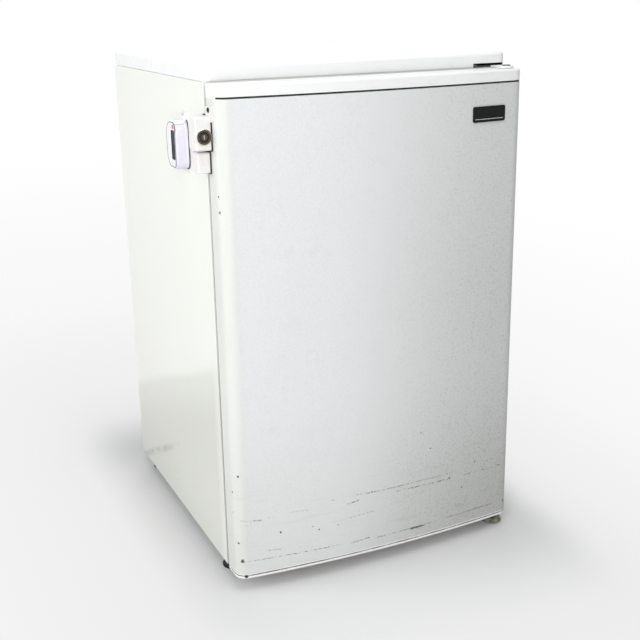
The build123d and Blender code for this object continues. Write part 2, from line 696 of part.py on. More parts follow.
with BuildPart() as top_hinge_pin:
    post(HINGE_AXIS, RIVET_HEAD, (CAB_TOP + HINGE_LEAF, CAB_TOP + HINGE_LEAF + RIVET_HEIGHT))
    post(HINGE_AXIS, HINGE_PIN, (DOOR_TOP - HINGE_PIN_LENGTH, CAB_TOP + HINGE_LEAF))
    fillet(top_hinge_pin.edges().sort_by(Axis.Z)[-1], RIVET_HEIGHT / 2)
    chamfer(top_hinge_pin.edges().sort_by(Axis.Z)[0], PIN_BEVEL)
save(top_hinge_pin, "top_hinge_pin")

# Lower hinge: joggled bracket under the door that carries the weld nut of the hinge foot
BRACKET_RIGHT = HINGE_X + HINGE_NOSE - LEAF_INSET
BRACKET_LEFT = BRACKET_RIGHT - LEAF_WIDTH
BRACKET_SCREWS = [
    (BRACKET_LEFT + SCREW_EDGE, Y_FACE + LEAF_DEPTH / 2),
    (BRACKET_RIGHT - SCREW_EDGE, Y_FACE + LEAF_DEPTH / 2),
    ((BRACKET_LEFT + BRACKET_RIGHT) / 2, Y_FACE + LEAF_DEPTH),
]
with BuildPart() as bottom_hinge_bracket:
    with BuildSketch(side(BRACKET_LEFT)):
        with BuildLine():
            Polyline(
                (HINGE_Y - HINGE_NOSE, BRACKET_LOW),
                (Y_FACE + LEAF_SETBACK, BRACKET_LOW),
                (Y_FACE + LEAF_SETBACK, CAB_BOTTOM - HINGE_LEAF),
                (Y_FACE + LEAF_DEPTH + SCREW_EDGE, CAB_BOTTOM - HINGE_LEAF),
                (Y_FACE + LEAF_DEPTH + SCREW_EDGE, CAB_BOTTOM),
                (Y_FACE + LEAF_SETBACK - HINGE_LEAF, CAB_BOTTOM),
                (Y_FACE + LEAF_SETBACK - HINGE_LEAF, BRACKET_TOP),
                (HINGE_Y - HINGE_NOSE, BRACKET_TOP),
                close=True,
            )
        make_face()
    extrude(amount=LEAF_WIDTH)
    nose = bottom_hinge_bracket.edges().filter_by(Axis.Z).sort_by(Axis.Y)[:2]
    fillet(nose, HINGE_NOSE - NOSE_FLAT)
    with BuildSketch(level(NUT_BOTTOM)):
        with Locations(HINGE_AXIS):
            RegularPolygon(NUT_ACROSS / 2, 6, major_radius=False)
    extrude(amount=BRACKET_LOW - NUT_BOTTOM)
    post(HINGE_AXIS, FOOT_STUD + 2 * RUNNING_FIT, (NUT_BOTTOM - OVERCUT, BRACKET_TOP + OVERCUT), Mode.SUBTRACT)
    for spot in BRACKET_SCREWS:
        post(
            spot,
            SCREW_SHANK + 2 * FIT_CLEARANCE,
            (CAB_BOTTOM - 2 * HINGE_LEAF, CAB_BOTTOM + OVERCUT),
            Mode.SUBTRACT,
        )
save(bottom_hinge_bracket, "bottom_hinge_bracket")

# Screws of both hinges
with BuildPart() as hinge_screws:
    for spot in TOP_HINGE_SCREWS:
        leaf_top = CAB_TOP + HINGE_LEAF
        post(spot, SCREW_HEAD, (leaf_top, leaf_top + SCREW_HEAD_HEIGHT))
        post(spot, SCREW_SHANK, (leaf_top - SCREW_LENGTH, leaf_top))
    for spot in BRACKET_SCREWS:
        leaf_low = CAB_BOTTOM - HINGE_LEAF
        post(spot, SCREW_HEAD, (leaf_low - SCREW_HEAD_HEIGHT, leaf_low))
        post(spot, SCREW_SHANK, (leaf_low, CAB_BOTTOM))
save(hinge_screws, "hinge_screws")

# Right foot: levelling stud whose smooth upper end is the lower hinge pin
with BuildPart() as hinge_foot:
    post(HINGE_AXIS, FOOT_PAD, (0.0, FOOT_PAD_HEIGHT))
    chamfer(hinge_foot.edges().sort_by(Axis.Z)[-1], FOOT_BEVEL)
    post(HINGE_AXIS, FOOT_STUD, (FOOT_PAD_HEIGHT, BRACKET_TOP))
    post(HINGE_AXIS, HINGE_PIN, (BRACKET_TOP, DOOR_BOTTOM + HINGE_PIN_LENGTH))
save(hinge_foot, "hinge_foot")

with BuildPart() as left_foot:
    post(LEFT_FOOT, FOOT_PAD, (0.0, FOOT_PAD_HEIGHT))
    chamfer(left_foot.edges().sort_by(Axis.Z)[-1], FOOT_BEVEL)
    post(LEFT_FOOT, FOOT_STUD, (FOOT_PAD_HEIGHT, CAB_BOTTOM - FOOT_TRAVEL_UP - NUT_CLEARANCE))
save(left_foot, "left_foot")

# Compressor rail with welded studs, standing on the fixed rear feet
GROMMET_SPOTS = [
    (
        COMPRESSOR_X + i * (COMPRESSOR_FOOT_LENGTH / 2 - GROMMET / 2 - GROMMET_EDGE),
        COMPRESSOR_Y + j * (COMPRESSOR_FOOT_WIDTH / 2 - GROMMET / 2 - GROMMET_EDGE),
    )
    for i in (-1, 1)
    for j in (-1, 1)
]
CROWN_Z = SHELL_BOTTOM + GROMMET_CROWN
with BuildPart() as compressor_rail:
    slab(
        (X_LEFT + SHEET, X_RIGHT - SHEET),
        (Y_NICHE + RAIL_MARGIN, Y_REAR),
        (CAB_BOTTOM, RAIL_TOP),
    )
    slab(
        (X_LEFT + SHEET, X_RIGHT - SHEET),
        (Y_REAR - RAIL_SHEET, Y_REAR),
        (RAIL_TOP, RAIL_TOP + HEM),
    )
    for spot in GROMMET_SPOTS:
        post(spot, STUD, (RAIL_TOP, CROWN_Z + NUT_HEIGHT))
        post(spot, NUT_DIAMETER, (CROWN_Z, CROWN_Z + NUT_HEIGHT))
save(compressor_rail, "compressor_rail")

with BuildPart() as rear_feet:
    for foot_x in (X_LEFT + REAR_FOOT_INSET, X_RIGHT - REAR_FOOT_INSET):
        with BuildSketch(level(0.0)):
            with Locations((foot_x, Y_REAR - REAR_FOOT_INSET)):
                Circle(REAR_FOOT / 2)
        with BuildSketch(level(CAB_BOTTOM)):
            with Locations((foot_x, Y_REAR - REAR_FOOT_INSET)):
                Circle(REAR_FOOT / 2 - REAR_FOOT_TAPER)
        loft()
save(rear_feet, "rear_feet")

# Compressor: two drawn halves welded at a seam flange, on a pressed foot plate
with BuildPart() as compressor:
    with BuildSketch(level(SHELL_BOTTOM)):
        with Locations((COMPRESSOR_X, COMPRESSOR_Y)):
            Ellipse(COMPRESSOR_LENGTH / 2, COMPRESSOR_WIDTH / 2)
    extrude(amount=COMPRESSOR_LOWER + COMPRESSOR_UPPER)
    fillet(compressor.edges().sort_by(Axis.Z)[-1], COMPRESSOR_UPPER / 2)
    fillet(compressor.edges().sort_by(Axis.Z)[0], COMPRESSOR_LOWER / 4)
    with BuildSketch(level(SHELL_SEAM)):
        with Locations((COMPRESSOR_X, COMPRESSOR_Y)):
            Ellipse(COMPRESSOR_LENGTH / 2 + COMPRESSOR_SEAM, COMPRESSOR_WIDTH / 2 + COMPRESSOR_SEAM)
    extrude(amount=COMPRESSOR_SEAM)
    with BuildSketch(level(SHELL_BOTTOM)):
        with Locations((COMPRESSOR_X, COMPRESSOR_Y)):
            RectangleRounded(COMPRESSOR_FOOT_LENGTH, COMPRESSOR_FOOT_WIDTH, GROMMET / 2)
        with Locations(*GROMMET_SPOTS):
            Circle(GROMMET_NECK / 2, mode=Mode.SUBTRACT)
    extrude(amount=-COMPRESSOR_FOOT)
save(compressor, "compressor")

with BuildPart() as compressor_grommets:
    for spot in GROMMET_SPOTS:
        post(spot, GROMMET, (RAIL_TOP, SHELL_BOTTOM - COMPRESSOR_FOOT))
        post(spot, GROMMET_NECK, (SHELL_BOTTOM - COMPRESSOR_FOOT, SHELL_BOTTOM))
        post(spot, GROMMET - GROMMET_CROWN, (SHELL_BOTTOM, CROWN_Z))
        post(spot, STUD, (RAIL_TOP, CROWN_Z), Mode.SUBTRACT)
    add(compressor.part, mode=Mode.SUBTRACT)
save(compressor_grommets, "compressor_grommets")

# Start relay cover clipped to the left end of the compressor
with BuildPart() as start_relay:
    with BuildSketch(level(SHELL_BOTTOM + GROMMET_CROWN)):
        with Locations((COMPRESSOR_X - COMPRESSOR_LENGTH / 2 - RELAY_DEPTH / 4, COMPRESSOR_Y)):
            RectangleRounded(RELAY_DEPTH, RELAY_LENGTH, RELAY_ROUND)
    extrude(amount=RELAY_HEIGHT)
    add(compressor.part, mode=Mode.SUBTRACT)
    add(compressor_grommets.part, mode=Mode.SUBTRACT)
    add(compressor_rail.part, mode=Mode.SUBTRACT)
save(start_relay, "start_relay")

# Drip tray resting on the compressor crown
with BuildPart() as drip_tray:
    with BuildSketch(level(SHELL_CROWN)):
        with Locations((COMPRESSOR_X, COMPRESSOR_Y)):
            RectangleRounded(TRAY_LENGTH, TRAY_WIDTH, GROMMET / 2)
    extrude(amount=TRAY_HEIGHT)
    offset(amount=-TRAY_WALL, openings=drip_tray.faces().sort_by(Axis.Z)[-1])
save(drip_tray, "drip_tray")

# Drain spout through the step of the liner, over the tray
with BuildPart() as drain_spout:
    post(DRAIN_CENTRE, DRAIN_FLANGE, (HUMP_Z, HUMP_Z + DRAIN_WALL))
    post(DRAIN_CENTRE, DRAIN_TUBE, (NICHE_TOP - HEM / 4, HUMP_Z))
    post(
        DRAIN_CENTRE,
        DRAIN_TUBE - 2 * DRAIN_WALL,
        (NICHE_TOP - HEM, HUMP_Z + 2 * DRAIN_WALL),
        Mode.SUBTRACT,
    )
save(drain_spout, "drain_spout")

# Discharge line from the compressor to the foot of the condenser's riser
RISER_X = X_MID + CONDENSER_RUN / 2 + CONDENSER_PITCH / 2 + RISER_GAP
RISER_FOOT = NICHE_TOP + LINE_BEND
DISCHARGE_Z = SHELL_BOTTOM + DISCHARGE_RISE
DISCHARGE_Y = COMPRESSOR_Y - DISCHARGE_OFFSET
DISCHARGE_ROUTE = [
    (COMPRESSOR_X + COMPRESSOR_LENGTH / 4, DISCHARGE_Y, DISCHARGE_Z),
    (RISER_X, DISCHARGE_Y, DISCHARGE_Z),
    (RISER_X, Y_CONDENSER, DISCHARGE_Z),
    (RISER_X, Y_CONDENSER, RISER_FOOT),
]
with BuildPart() as discharge_line:
    tube(DISCHARGE_ROUTE, LINE_BEND, CONDENSER_TUBE)
    add(compressor.part, mode=Mode.SUBTRACT)
save(discharge_line, "discharge_line")

# Condenser: one serpentine tube from the riser to the drier
with BuildPart() as condenser_tube:
    with BuildLine():
        riser = FilletPolyline(
            (RISER_X, Y_CONDENSER, RISER_FOOT),
            (RISER_X, Y_CONDENSER, CONDENSER_TOP),
            (X_MID - CONDENSER_RUN / 2, Y_CONDENSER, CONDENSER_TOP),
            radius=LINE_BEND,
        )
        turn_sign = -1
        for run in range(1, CONDENSER_RUNS):
            z_above = CONDENSER_TOP - (run - 1) * CONDENSER_PITCH
            z_run = z_above - CONDENSER_PITCH
            x_turn = X_MID + turn_sign * CONDENSER_RUN / 2
            ThreePointArc(
                (x_turn, Y_CONDENSER, z_above),
                (x_turn + turn_sign * CONDENSER_PITCH / 2, Y_CONDENSER, (z_above + z_run) / 2),
                (x_turn, Y_CONDENSER, z_run),
            )
            if run < CONDENSER_RUNS - 1:
                Line((x_turn, Y_CONDENSER, z_run), (X_MID - turn_sign * CONDENSER_RUN / 2, Y_CONDENSER, z_run))
            turn_sign = -turn_sign
        x_last = X_MID - turn_sign * CONDENSER_RUN / 2
        FilletPolyline(
            (x_last, Y_CONDENSER, CONDENSER_BOTTOM),
            (DRIER_X, Y_CONDENSER, CONDENSER_BOTTOM),
            (DRIER_X, Y_CONDENSER, NICHE_TOP - LINE_BEND),
            (DRIER_X, DRIER_Y, NICHE_TOP - LINE_BEND - DRIER_INLET),
            (DRIER_X, DRIER_Y, DRIER_LOW + DRIER_LENGTH),
            radius=CAPILLARY_BEND,
        )
    with BuildSketch(Plane(origin=riser @ 0, z_dir=riser % 0)):
        Circle(CONDENSER_TUBE / 2)
    sweep()
save(condenser_tube, "condenser_tube")

# Wires welded across both faces of the serpentine
WIRE_TOP = CONDENSER_TOP + WIRE_OVERHANG
WIRE_LOW = CONDENSER_BOTTOM - WIRE_OVERHANG
WIRE_OFFSET = CONDENSER_TUBE / 2 + WELD_GAP + WIRE / 2
with BuildPart() as condenser_wires:
    for face in (-1, 1):
        for i in range(WIRE_COUNT):
            wire_x = X_MID + (i - (WIRE_COUNT - 1) / 2) * WIRE_PITCH
            post((wire_x, Y_CONDENSER + face * WIRE_OFFSET), WIRE, (WIRE_LOW, WIRE_TOP))
save(condenser_wires, "condenser_wires")

# Stand-off clips that hold the serpentine to the rear panel
CLIP_X = (WIRE_COUNT // 2 - 2) * WIRE_PITCH
with BuildPart() as condenser_clips:
    for clip_x in (X_MID - CLIP_X, X_MID + CLIP_X):
        for run in (1, CONDENSER_RUNS - 2):
            clip_z = CONDENSER_TOP - run * CONDENSER_PITCH
            slab(
                (clip_x - CLIP_WIDTH / 2, clip_x + CLIP_WIDTH / 2),
                (Y_REAR, Y_CONDENSER + CONDENSER_TUBE / 2),
                (clip_z - CLIP_HEIGHT / 2, clip_z + CLIP_HEIGHT / 2),
            )
            crosswise(
                Y_CONDENSER,
                clip_z,
                CONDENSER_TUBE + 2 * WELD_GAP,
                (clip_x - CLIP_WIDTH, clip_x + CLIP_WIDTH),
                Mode.SUBTRACT,
            )
            slab(
                (clip_x - CLIP_WIDTH, clip_x + CLIP_WIDTH),
                (Y_CONDENSER + CONDENSER_TUBE / 4, Y_CONDENSER + CONDENSER_TUBE),
                (clip_z - CONDENSER_TUBE / 2, clip_z + CONDENSER_TUBE / 2),
                Mode.SUBTRACT,
            )
save(condenser_clips, "condenser_clips")

# Filter drier with the capillary brazed into its lower end
with BuildPart() as filter_drier:
    with BuildSketch(Plane(origin=(DRIER_X, DRIER_Y, DRIER_LOW), x_dir=(1, 0, 0), z_dir=(0, -1, 0))):
        with BuildLine():
            Polyline(
                (0, 0),
                (CAPILLARY, 0),
                (DRIER_DIAMETER / 2, DRIER_NECK),
                (DRIER_DIAMETER / 2, DRIER_LENGTH - DRIER_NECK),
                (CONDENSER_TUBE, DRIER_LENGTH),
                (0, DRIER_LENGTH),
                close=True,
            )
        make_face()
    revolve(axis=Axis((DRIER_X, DRIER_Y, DRIER_LOW), (0, 0, 1)))
    tube(CAPILLARY_ROUTE, CAPILLARY_BEND, CAPILLARY)
save(filter_drier, "filter_drier")

with BuildPart() as suction_line:
    tube(SUCTION_ROUTE, LINE_BEND, LINE_TUBE)
    add(compressor.part, mode=Mode.SUBTRACT)
save(suction_line, "suction_line")

# Gland where the mains lead enters the rear panel
with BuildPart() as cord_gland:
    spindle(GLAND_X, GLAND_Z, GLAND_FLANGE, (Y_REAR, Y_REAR + HINGE_LEAF))
    spindle(GLAND_X, GLAND_Z, GLAND_NECK, (Y_REAR - GLAND_DEPTH, Y_REAR))
    spindle(GLAND_X, GLAND_Z, GLAND_BORE, (Y_REAR - GLAND_DEPTH + DRAIN_WALL, Y_REAR + HINGE_LEAF), Mode.SUBTRACT)
save(cord_gland, "cord_gland")

# Roll-bonded evaporator plate with its raised channel, on posts before the rear wall
with BuildPart() as evaporator_plate:
    with BuildSketch(upright(Y_EVAPORATOR)):
        with Locations((X_MID, EVAPORATOR_LOW)):
            Rectangle(EVAPORATOR_WIDTH, EVAPORATOR_HEIGHT, align=(Align.CENTER, Align.MIN))
    extrude(amount=EVAPORATOR_SHEET)
    channel_pitch = EVAPORATOR_HEIGHT / EVAPORATOR_RUNS
    half_run = EVAPORATOR_WIDTH / 2 - channel_pitch
    for run in range(EVAPORATOR_RUNS):
        z_run = EVAPORATOR_LOW + channel_pitch * (run + 0.5)
        crosswise(
            Y_EVAPORATOR - EVAPORATOR_SHEET,
            z_run,
            EVAPORATOR_CHANNEL,
            (X_MID - half_run, X_MID + half_run),
        )
        if run:
            end_x = X_MID + (half_run if run % 2 else -half_run)
            post(
                (end_x, Y_EVAPORATOR - EVAPORATOR_SHEET),
                EVAPORATOR_CHANNEL,
                (z_run - channel_pitch, z_run),
            )
    slab(
        (X_MID - EVAPORATOR_WIDTH, X_MID + EVAPORATOR_WIDTH),
        (Y_EVAPORATOR, Y_EVAPORATOR + EVAPORATOR_CHANNEL),
        (EVAPORATOR_LOW, EVAPORATOR_TOP),
        Mode.SUBTRACT,
    )
save(evaporator_plate, "evaporator_plate")

with BuildPart() as evaporator_posts:
    for post_x in (X_MID - EVAPORATOR_WIDTH / 2 + POST, X_MID + EVAPORATOR_WIDTH / 2 - POST):
        for post_z in (EVAPORATOR_LOW + POST, EVAPORATOR_TOP - POST):
            spindle(post_x, post_z, POST, (Y_EVAPORATOR, Y_BACK))
save(evaporator_posts, "evaporator_posts")

# Thermostat and lamp housing on the right wall
HOUSING_TOP = CEILING_Z - HOUSING_DROP
HOUSING_LOW = HOUSING_TOP - HOUSING_HEIGHT
HOUSING_MID = (HOUSING_TOP + HOUSING_LOW) / 2
HOUSING_FRONT = Y_FACE + HOUSING_SETBACK
HOUSING_BACK = HOUSING_FRONT + HOUSING_LENGTH
HOUSING_FACE = WALL_RIGHT - HOUSING_REACH
KNOB_Y = HOUSING_FRONT + KNOB_DIAMETER / 2 + HOUSING_ROUND
LENS_Y = HOUSING_BACK - HOUSING_ROUND - LENS_LENGTH / 2
ROCKER_Y = (KNOB_Y + KNOB_DIAMETER / 2 + LENS_Y - LENS_LENGTH / 2) / 2
ROCKER_X = HOUSING_FACE + ROCKER_RADIUS * ROCKER_SINK
with BuildPart() as control_housing:
    with BuildSketch(side(HOUSING_FACE)):
        with Locations(((HOUSING_FRONT + HOUSING_BACK) / 2, HOUSING_MID)):
            RectangleRounded(HOUSING_LENGTH, HOUSING_HEIGHT, HOUSING_ROUND)
    extrude(amount=HOUSING_REACH)
    fillet(control_housing.faces().sort_by(Axis.X)[0].edges(), HOUSING_ROUND / 2)
    crosswise(
        KNOB_Y,
        HOUSING_MID,
        KNOB_SHAFT + 2 * RUNNING_FIT,
        (HOUSING_FACE - OVERCUT, HOUSING_FACE + KNOB_SHAFT_LENGTH + KNOB_GAP),
        Mode.SUBTRACT,
    )
    slab(
        (HOUSING_FACE - OVERCUT, WALL_RIGHT - HOUSING_WALL),
        (LENS_Y - LENS_LENGTH / 2, LENS_Y + LENS_LENGTH / 2),
        (HOUSING_MID - LENS_HEIGHT / 2, HOUSING_MID + LENS_HEIGHT / 2),
        Mode.SUBTRACT,
    )
    spindle(
        ROCKER_X,
        HOUSING_MID,
        2 * (ROCKER_RADIUS + ROCKER_GAP),
        (ROCKER_Y - ROCKER_LENGTH / 2 - ROCKER_GAP, ROCKER_Y + ROCKER_LENGTH / 2 + ROCKER_GAP),
        Mode.SUBTRACT,
    )
    spindle(
        ROCKER_X,
        HOUSING_MID,
        ROCKER_PIN + 2 * RUNNING_FIT,
        (ROCKER_Y - ROCKER_LENGTH / 2 - HOUSING_WALL, ROCKER_Y + ROCKER_LENGTH / 2 + HOUSING_WALL),
        Mode.SUBTRACT,
    )
save(control_housing, "control_housing")

# Thermostat knob: fluted skirt on a shaft
with BuildPart() as thermostat_knob:
    crosswise(
        KNOB_Y,
        HOUSING_MID,
        KNOB_DIAMETER,
        (HOUSING_FACE - KNOB_GAP - KNOB_HEIGHT, HOUSING_FACE - KNOB_GAP),
    )
    chamfer(thermostat_knob.edges().sort_by(Axis.X)[0], KNOB_BEVEL)
    for i in range(FLUTES):
        turn = radians(360 / FLUTES * (i + 0.5))
        reach = KNOB_DIAMETER / 2 + FLUTE_RADIUS / 2
        crosswise(
            KNOB_Y + reach * cos(turn),
            HOUSING_MID + reach * sin(turn),
            2 * FLUTE_RADIUS,
            (HOUSING_FACE - KNOB_GAP - 2 * KNOB_HEIGHT, HOUSING_FACE - KNOB_GAP - KNOB_SKIRT),
            Mode.SUBTRACT,
        )
    crosswise(
        KNOB_Y,
        HOUSING_MID,
        KNOB_SHAFT,
        (HOUSING_FACE - KNOB_GAP, HOUSING_FACE + KNOB_SHAFT_LENGTH),
    )
save(thermostat_knob, "thermostat_knob")

# Lamp lens: domed clear cover let into the housing, over a bulb in its holder
with BuildPart() as lamp_lens:
    with BuildSketch(side(HOUSING_FACE - LENS_REACH)):
        with Locations((LENS_Y, HOUSING_MID)):
            Rectangle(LENS_LENGTH, LENS_HEIGHT)
    extrude(amount=LENS_REACH + HOUSING_WALL)
    fillet(lamp_lens.faces().sort_by(Axis.X)[0].edges(), LENS_REACH / 2)
    offset(amount=-LENS_WALL, openings=lamp_lens.faces().sort_by(Axis.X)[-1])
save(lamp_lens, "lamp_lens")

BULB_X = HOUSING_FACE + BULB_DIAMETER / 2 + HOUSING_WALL
with BuildPart() as lamp_bulb:
    bulb_back = LENS_Y + LENS_LENGTH / 2
    spindle(BULB_X, HOUSING_MID, BULB_NECK, (bulb_back - BULB_LENGTH + BULB_DIAMETER / 2, bulb_back))
    with Locations((BULB_X, bulb_back - BULB_LENGTH + BULB_DIAMETER / 2, HOUSING_MID)):
        Sphere(BULB_DIAMETER / 2)
save(lamp_bulb, "lamp_bulb")

# Rocker switch of the lamp, tipping on its own trunnions
with BuildPart() as light_rocker:
    rocker_y = (ROCKER_Y - ROCKER_LENGTH / 2, ROCKER_Y + ROCKER_LENGTH / 2)
    spindle(ROCKER_X, HOUSING_MID, 2 * ROCKER_RADIUS, rocker_y)
    for lean in (0.0, radians(2 * ROCKER_TILT)):
        rise = Plane(
            origin=(HOUSING_FACE - ROCKER_STAND, ROCKER_Y, HOUSING_MID),
            x_dir=(0, 1, 0),
            z_dir=(-cos(lean), 0, sin(lean)),
        )
        with BuildSketch(rise):
            Rectangle(2 * ROCKER_RADIUS, 4 * ROCKER_RADIUS)
        extrude(amount=2 * ROCKER_RADIUS, mode=Mode.SUBTRACT)
    spindle(
        ROCKER_X,
        HOUSING_MID,
        ROCKER_PIN,
        (rocker_y[0] - HOUSING_WALL + ROCKER_GAP, rocker_y[1] + HOUSING_WALL - ROCKER_GAP),
    )
save(light_rocker, "light_rocker")

# Shelves: toughened glass on the liner's ledges, edged front and rear
SHELF_NAMES = ("crisper_cover", "middle_shelf", "upper_shelf")
for shelf_name, shelf_z in zip(SHELF_NAMES, SHELF_LEVELS):
    with BuildPart() as shelf_glass:
        with BuildSketch(level(shelf_z)):
            with Locations((X_MID, (Y_SHELF + Y_SHELF_REAR) / 2)):
                RectangleRounded(
                    CAVITY_WIDTH - 2 * SHELF_SIDE_GAP,
                    Y_SHELF_REAR - Y_SHELF,
                    SHELF_SIDE_GAP,
                )
        extrude(amount=SHELF_GLASS)
    save(shelf_glass, f"{shelf_name}_glass")

TRIM_SPAN = CAVITY_WIDTH - 2 * LEDGE_REACH - 2 * SHELF_SIDE_GAP
with BuildPart() as shelf_trims:
    for shelf_z in SHELF_LEVELS:
        glass_mid = shelf_z + SHELF_GLASS / 2
        for edge_y, inward in ((Y_SHELF, 1), (Y_SHELF_REAR, -1)):
            with BuildSketch(side(X_MID - TRIM_SPAN / 2)):
                with Locations((edge_y + inward * (TRIM_GROOVE - TRIM_DEPTH / 2), glass_mid)):
                    RectangleRounded(TRIM_DEPTH, TRIM_HEIGHT, TRIM_HEIGHT / 3)
                with Locations((edge_y + inward * TRIM_DEPTH / 2, glass_mid)):
                    Rectangle(TRIM_DEPTH, SHELF_GLASS, mode=Mode.SUBTRACT)
            extrude(amount=TRIM_SPAN)
save(shelf_trims, "shelf_trims")

# Crisper drawer: drafted tub on the cabinet floor before the step, with a finger lip
CRISPER_WIDTH = CAVITY_WIDTH - 2 * CRISPER_SIDE_GAP
Y_CRISPER = Y_HUMP - LINER_CORNER - CRISPER_DEPTH
with BuildPart() as crisper_drawer:
    with BuildSketch(level(FLOOR_Z)):
        with Locations((X_MID, Y_CRISPER + CRISPER_DEPTH / 2)):
            RectangleRounded(
                CRISPER_WIDTH - 2 * CRISPER_TAPER,
                CRISPER_DEPTH - 2 * CRISPER_TAPER,
                CRISPER_CORNER,
            )
    with BuildSketch(level(FLOOR_Z + CRISPER_HEIGHT)):
        with Locations((X_MID, Y_CRISPER + CRISPER_DEPTH / 2)):
            RectangleRounded(CRISPER_WIDTH, CRISPER_DEPTH, CRISPER_CORNER)
    loft()
    offset(amount=-CRISPER_WALL, openings=crisper_drawer.faces().sort_by(Axis.Z)[-1])
    with BuildSketch(level(FLOOR_Z + CRISPER_HEIGHT)):
        with Locations((X_MID, Y_CRISPER - CRISPER_WALL)):
            RectangleRounded(CRISPER_WIDTH / 2, 4 * CRISPER_WALL, CRISPER_WALL)
    extrude(amount=-CRISPER_WALL)
save(crisper_drawer, "crisper_drawer")

# Door skin: bowed sheet with folded sides and return flanges
with BuildPart() as door_panel:
    extrude(door_plan(PANEL_BOTTOM), amount=PANEL_TOP - PANEL_BOTTOM)
    extrude(door_plan(PANEL_BOTTOM, SHEET), amount=PANEL_TOP - PANEL_BOTTOM, mode=Mode.SUBTRACT)
    for flange_x in (X_LEFT, X_RIGHT - DOOR_RETURN):
        slab(
            (flange_x, flange_x + DOOR_RETURN),
            (Y_DOOR_REAR - SHEET, Y_DOOR_REAR),
            (PANEL_BOTTOM, PANEL_TOP),
        )
save(door_panel, "door_panel")

# Top cap with the shadow joint along its front, bored for the hinge bush
with BuildPart() as door_top_cap:
    extrude(door_plan(PANEL_TOP), amount=DOOR_TOP - PANEL_TOP)
    fillet(door_top_cap.faces().sort_by(Axis.Z)[-1].edges(), CAP_ROUND)
    add(door_band(PANEL_TOP, CAP_JOINT, CAP_JOINT_DEPTH, Y_DOOR_EDGE + DOOR_CORNER / 2), mode=Mode.SUBTRACT)
    post(HINGE_AXIS, BUSH_DIAMETER, (DOOR_TOP - BUSH_LENGTH, DOOR_TOP), Mode.SUBTRACT)
save(door_top_cap, "door_top_cap")

# Bottom cap with a thin groove round it
with BuildPart() as door_bottom_cap:
    extrude(door_plan(DOOR_BOTTOM), amount=PANEL_BOTTOM - DOOR_BOTTOM)
    fillet(door_bottom_cap.faces().sort_by(Axis.Z)[0].edges(), CAP_ROUND)
    groove_z = PANEL_BOTTOM - 2 * BOTTOM_GROOVE
    add(door_band(groove_z, BOTTOM_GROOVE, BOTTOM_GROOVE, Y_DOOR_REAR), mode=Mode.SUBTRACT)
    post(HINGE_AXIS, BUSH_DIAMETER, (DOOR_BOTTOM, PANEL_BOTTOM), Mode.SUBTRACT)
save(door_bottom_cap, "door_bottom_cap")

# Door liner: flat flange for the gasket, and a hollow raised frame that holds the bins
DYKE_HALF = CAVITY_WIDTH / 2 - DYKE_CLEARANCE
DYKE_LOW = FLOOR_Z + DYKE_CLEARANCE
DYKE_TOP = CEILING_Z - DYKE_CLEARANCE
DYKE_MID = (DYKE_LOW + DYKE_TOP) / 2
DYKE_TALL = DYKE_TOP - DYKE_LOW
DYKE_FACE = Y_FACE + DYKE_REACH
BIN_HALF = DYKE_HALF - DYKE_WIDTH - BIN_SIDE_GAP
BIN_BASES = [DYKE_LOW + DYKE_WIDTH + rise for rise in BIN_LEVELS]


def dyke_frame(inset, y_from, y_to):
    """Raised frame of the door liner, drawn in on both its sides, between two depths."""
    with BuildSketch(upright(y_to)) as ring:
        with Locations((X_MID, DYKE_MID)):
            RectangleRounded(2 * (DYKE_HALF - inset), DYKE_TALL - 2 * inset, DYKE_CORNER)
            RectangleRounded(
                2 * (DYKE_HALF - DYKE_WIDTH + inset),
                DYKE_TALL - 2 * (DYKE_WIDTH - inset),
                DYKE_CORNER / 2,
                mode=Mode.SUBTRACT,
            )
    return extrude(ring.sketch, amount=y_to - y_from, mode=Mode.PRIVATE)


with BuildPart() as door_liner:
    slab(
        (X_LEFT + DOOR_RETURN, X_RIGHT - DOOR_RETURN),
        (Y_DOOR_REAR - LINER_WALL, Y_DOOR_REAR),
        (PANEL_BOTTOM, PANEL_TOP),
    )
    add(dyke_frame(0.0, Y_DOOR_REAR, DYKE_FACE))
    fillet(door_liner.faces().sort_by(Axis.Y)[-1].edges(), DYKE_ROUND)
    add(
        dyke_frame(LINER_WALL, Y_DOOR_REAR - LINER_WALL, DYKE_FACE - DYKE_ROUND),
        mode=Mode.SUBTRACT,
    )
    for base in BIN_BASES:
        for wall in (-1, 1):
            root_x = X_MID + wall * (DYKE_HALF - DYKE_WIDTH + LINER_WALL / 2)
            tip_x = X_MID + wall * (DYKE_HALF - DYKE_WIDTH - LUG_REACH)
            slab(
                (min(root_x, tip_x), max(root_x, tip_x)),
                (Y_DOOR_REAR + LUG_SETBACK - LUG_WIDTH, Y_DOOR_REAR + LUG_SETBACK),
                (base + LUG_RISE, base + LUG_RISE + LUG_HEIGHT),
            )
save(door_liner, "door_liner")

# Door insulation, which also fills the raised frame
with BuildPart() as door_insulation:
    extrude(door_plan(PANEL_BOTTOM, SHEET), amount=PANEL_TOP - PANEL_BOTTOM)
    slab(
        (X_LEFT, X_RIGHT),
        (Y_DOOR_REAR - LINER_WALL, Y_DOOR_REAR),
        (PANEL_BOTTOM, PANEL_TOP),
        Mode.SUBTRACT,
    )
    add(dyke_frame(LINER_WALL, Y_DOOR_REAR - LINER_WALL, DYKE_FACE - DYKE_ROUND))
    post(HINGE_AXIS, BUSH_DIAMETER, (PANEL_BOTTOM, DOOR_BOTTOM + BUSH_LENGTH + HINGE_PIN), Mode.SUBTRACT)
save(door_insulation, "door_insulation")

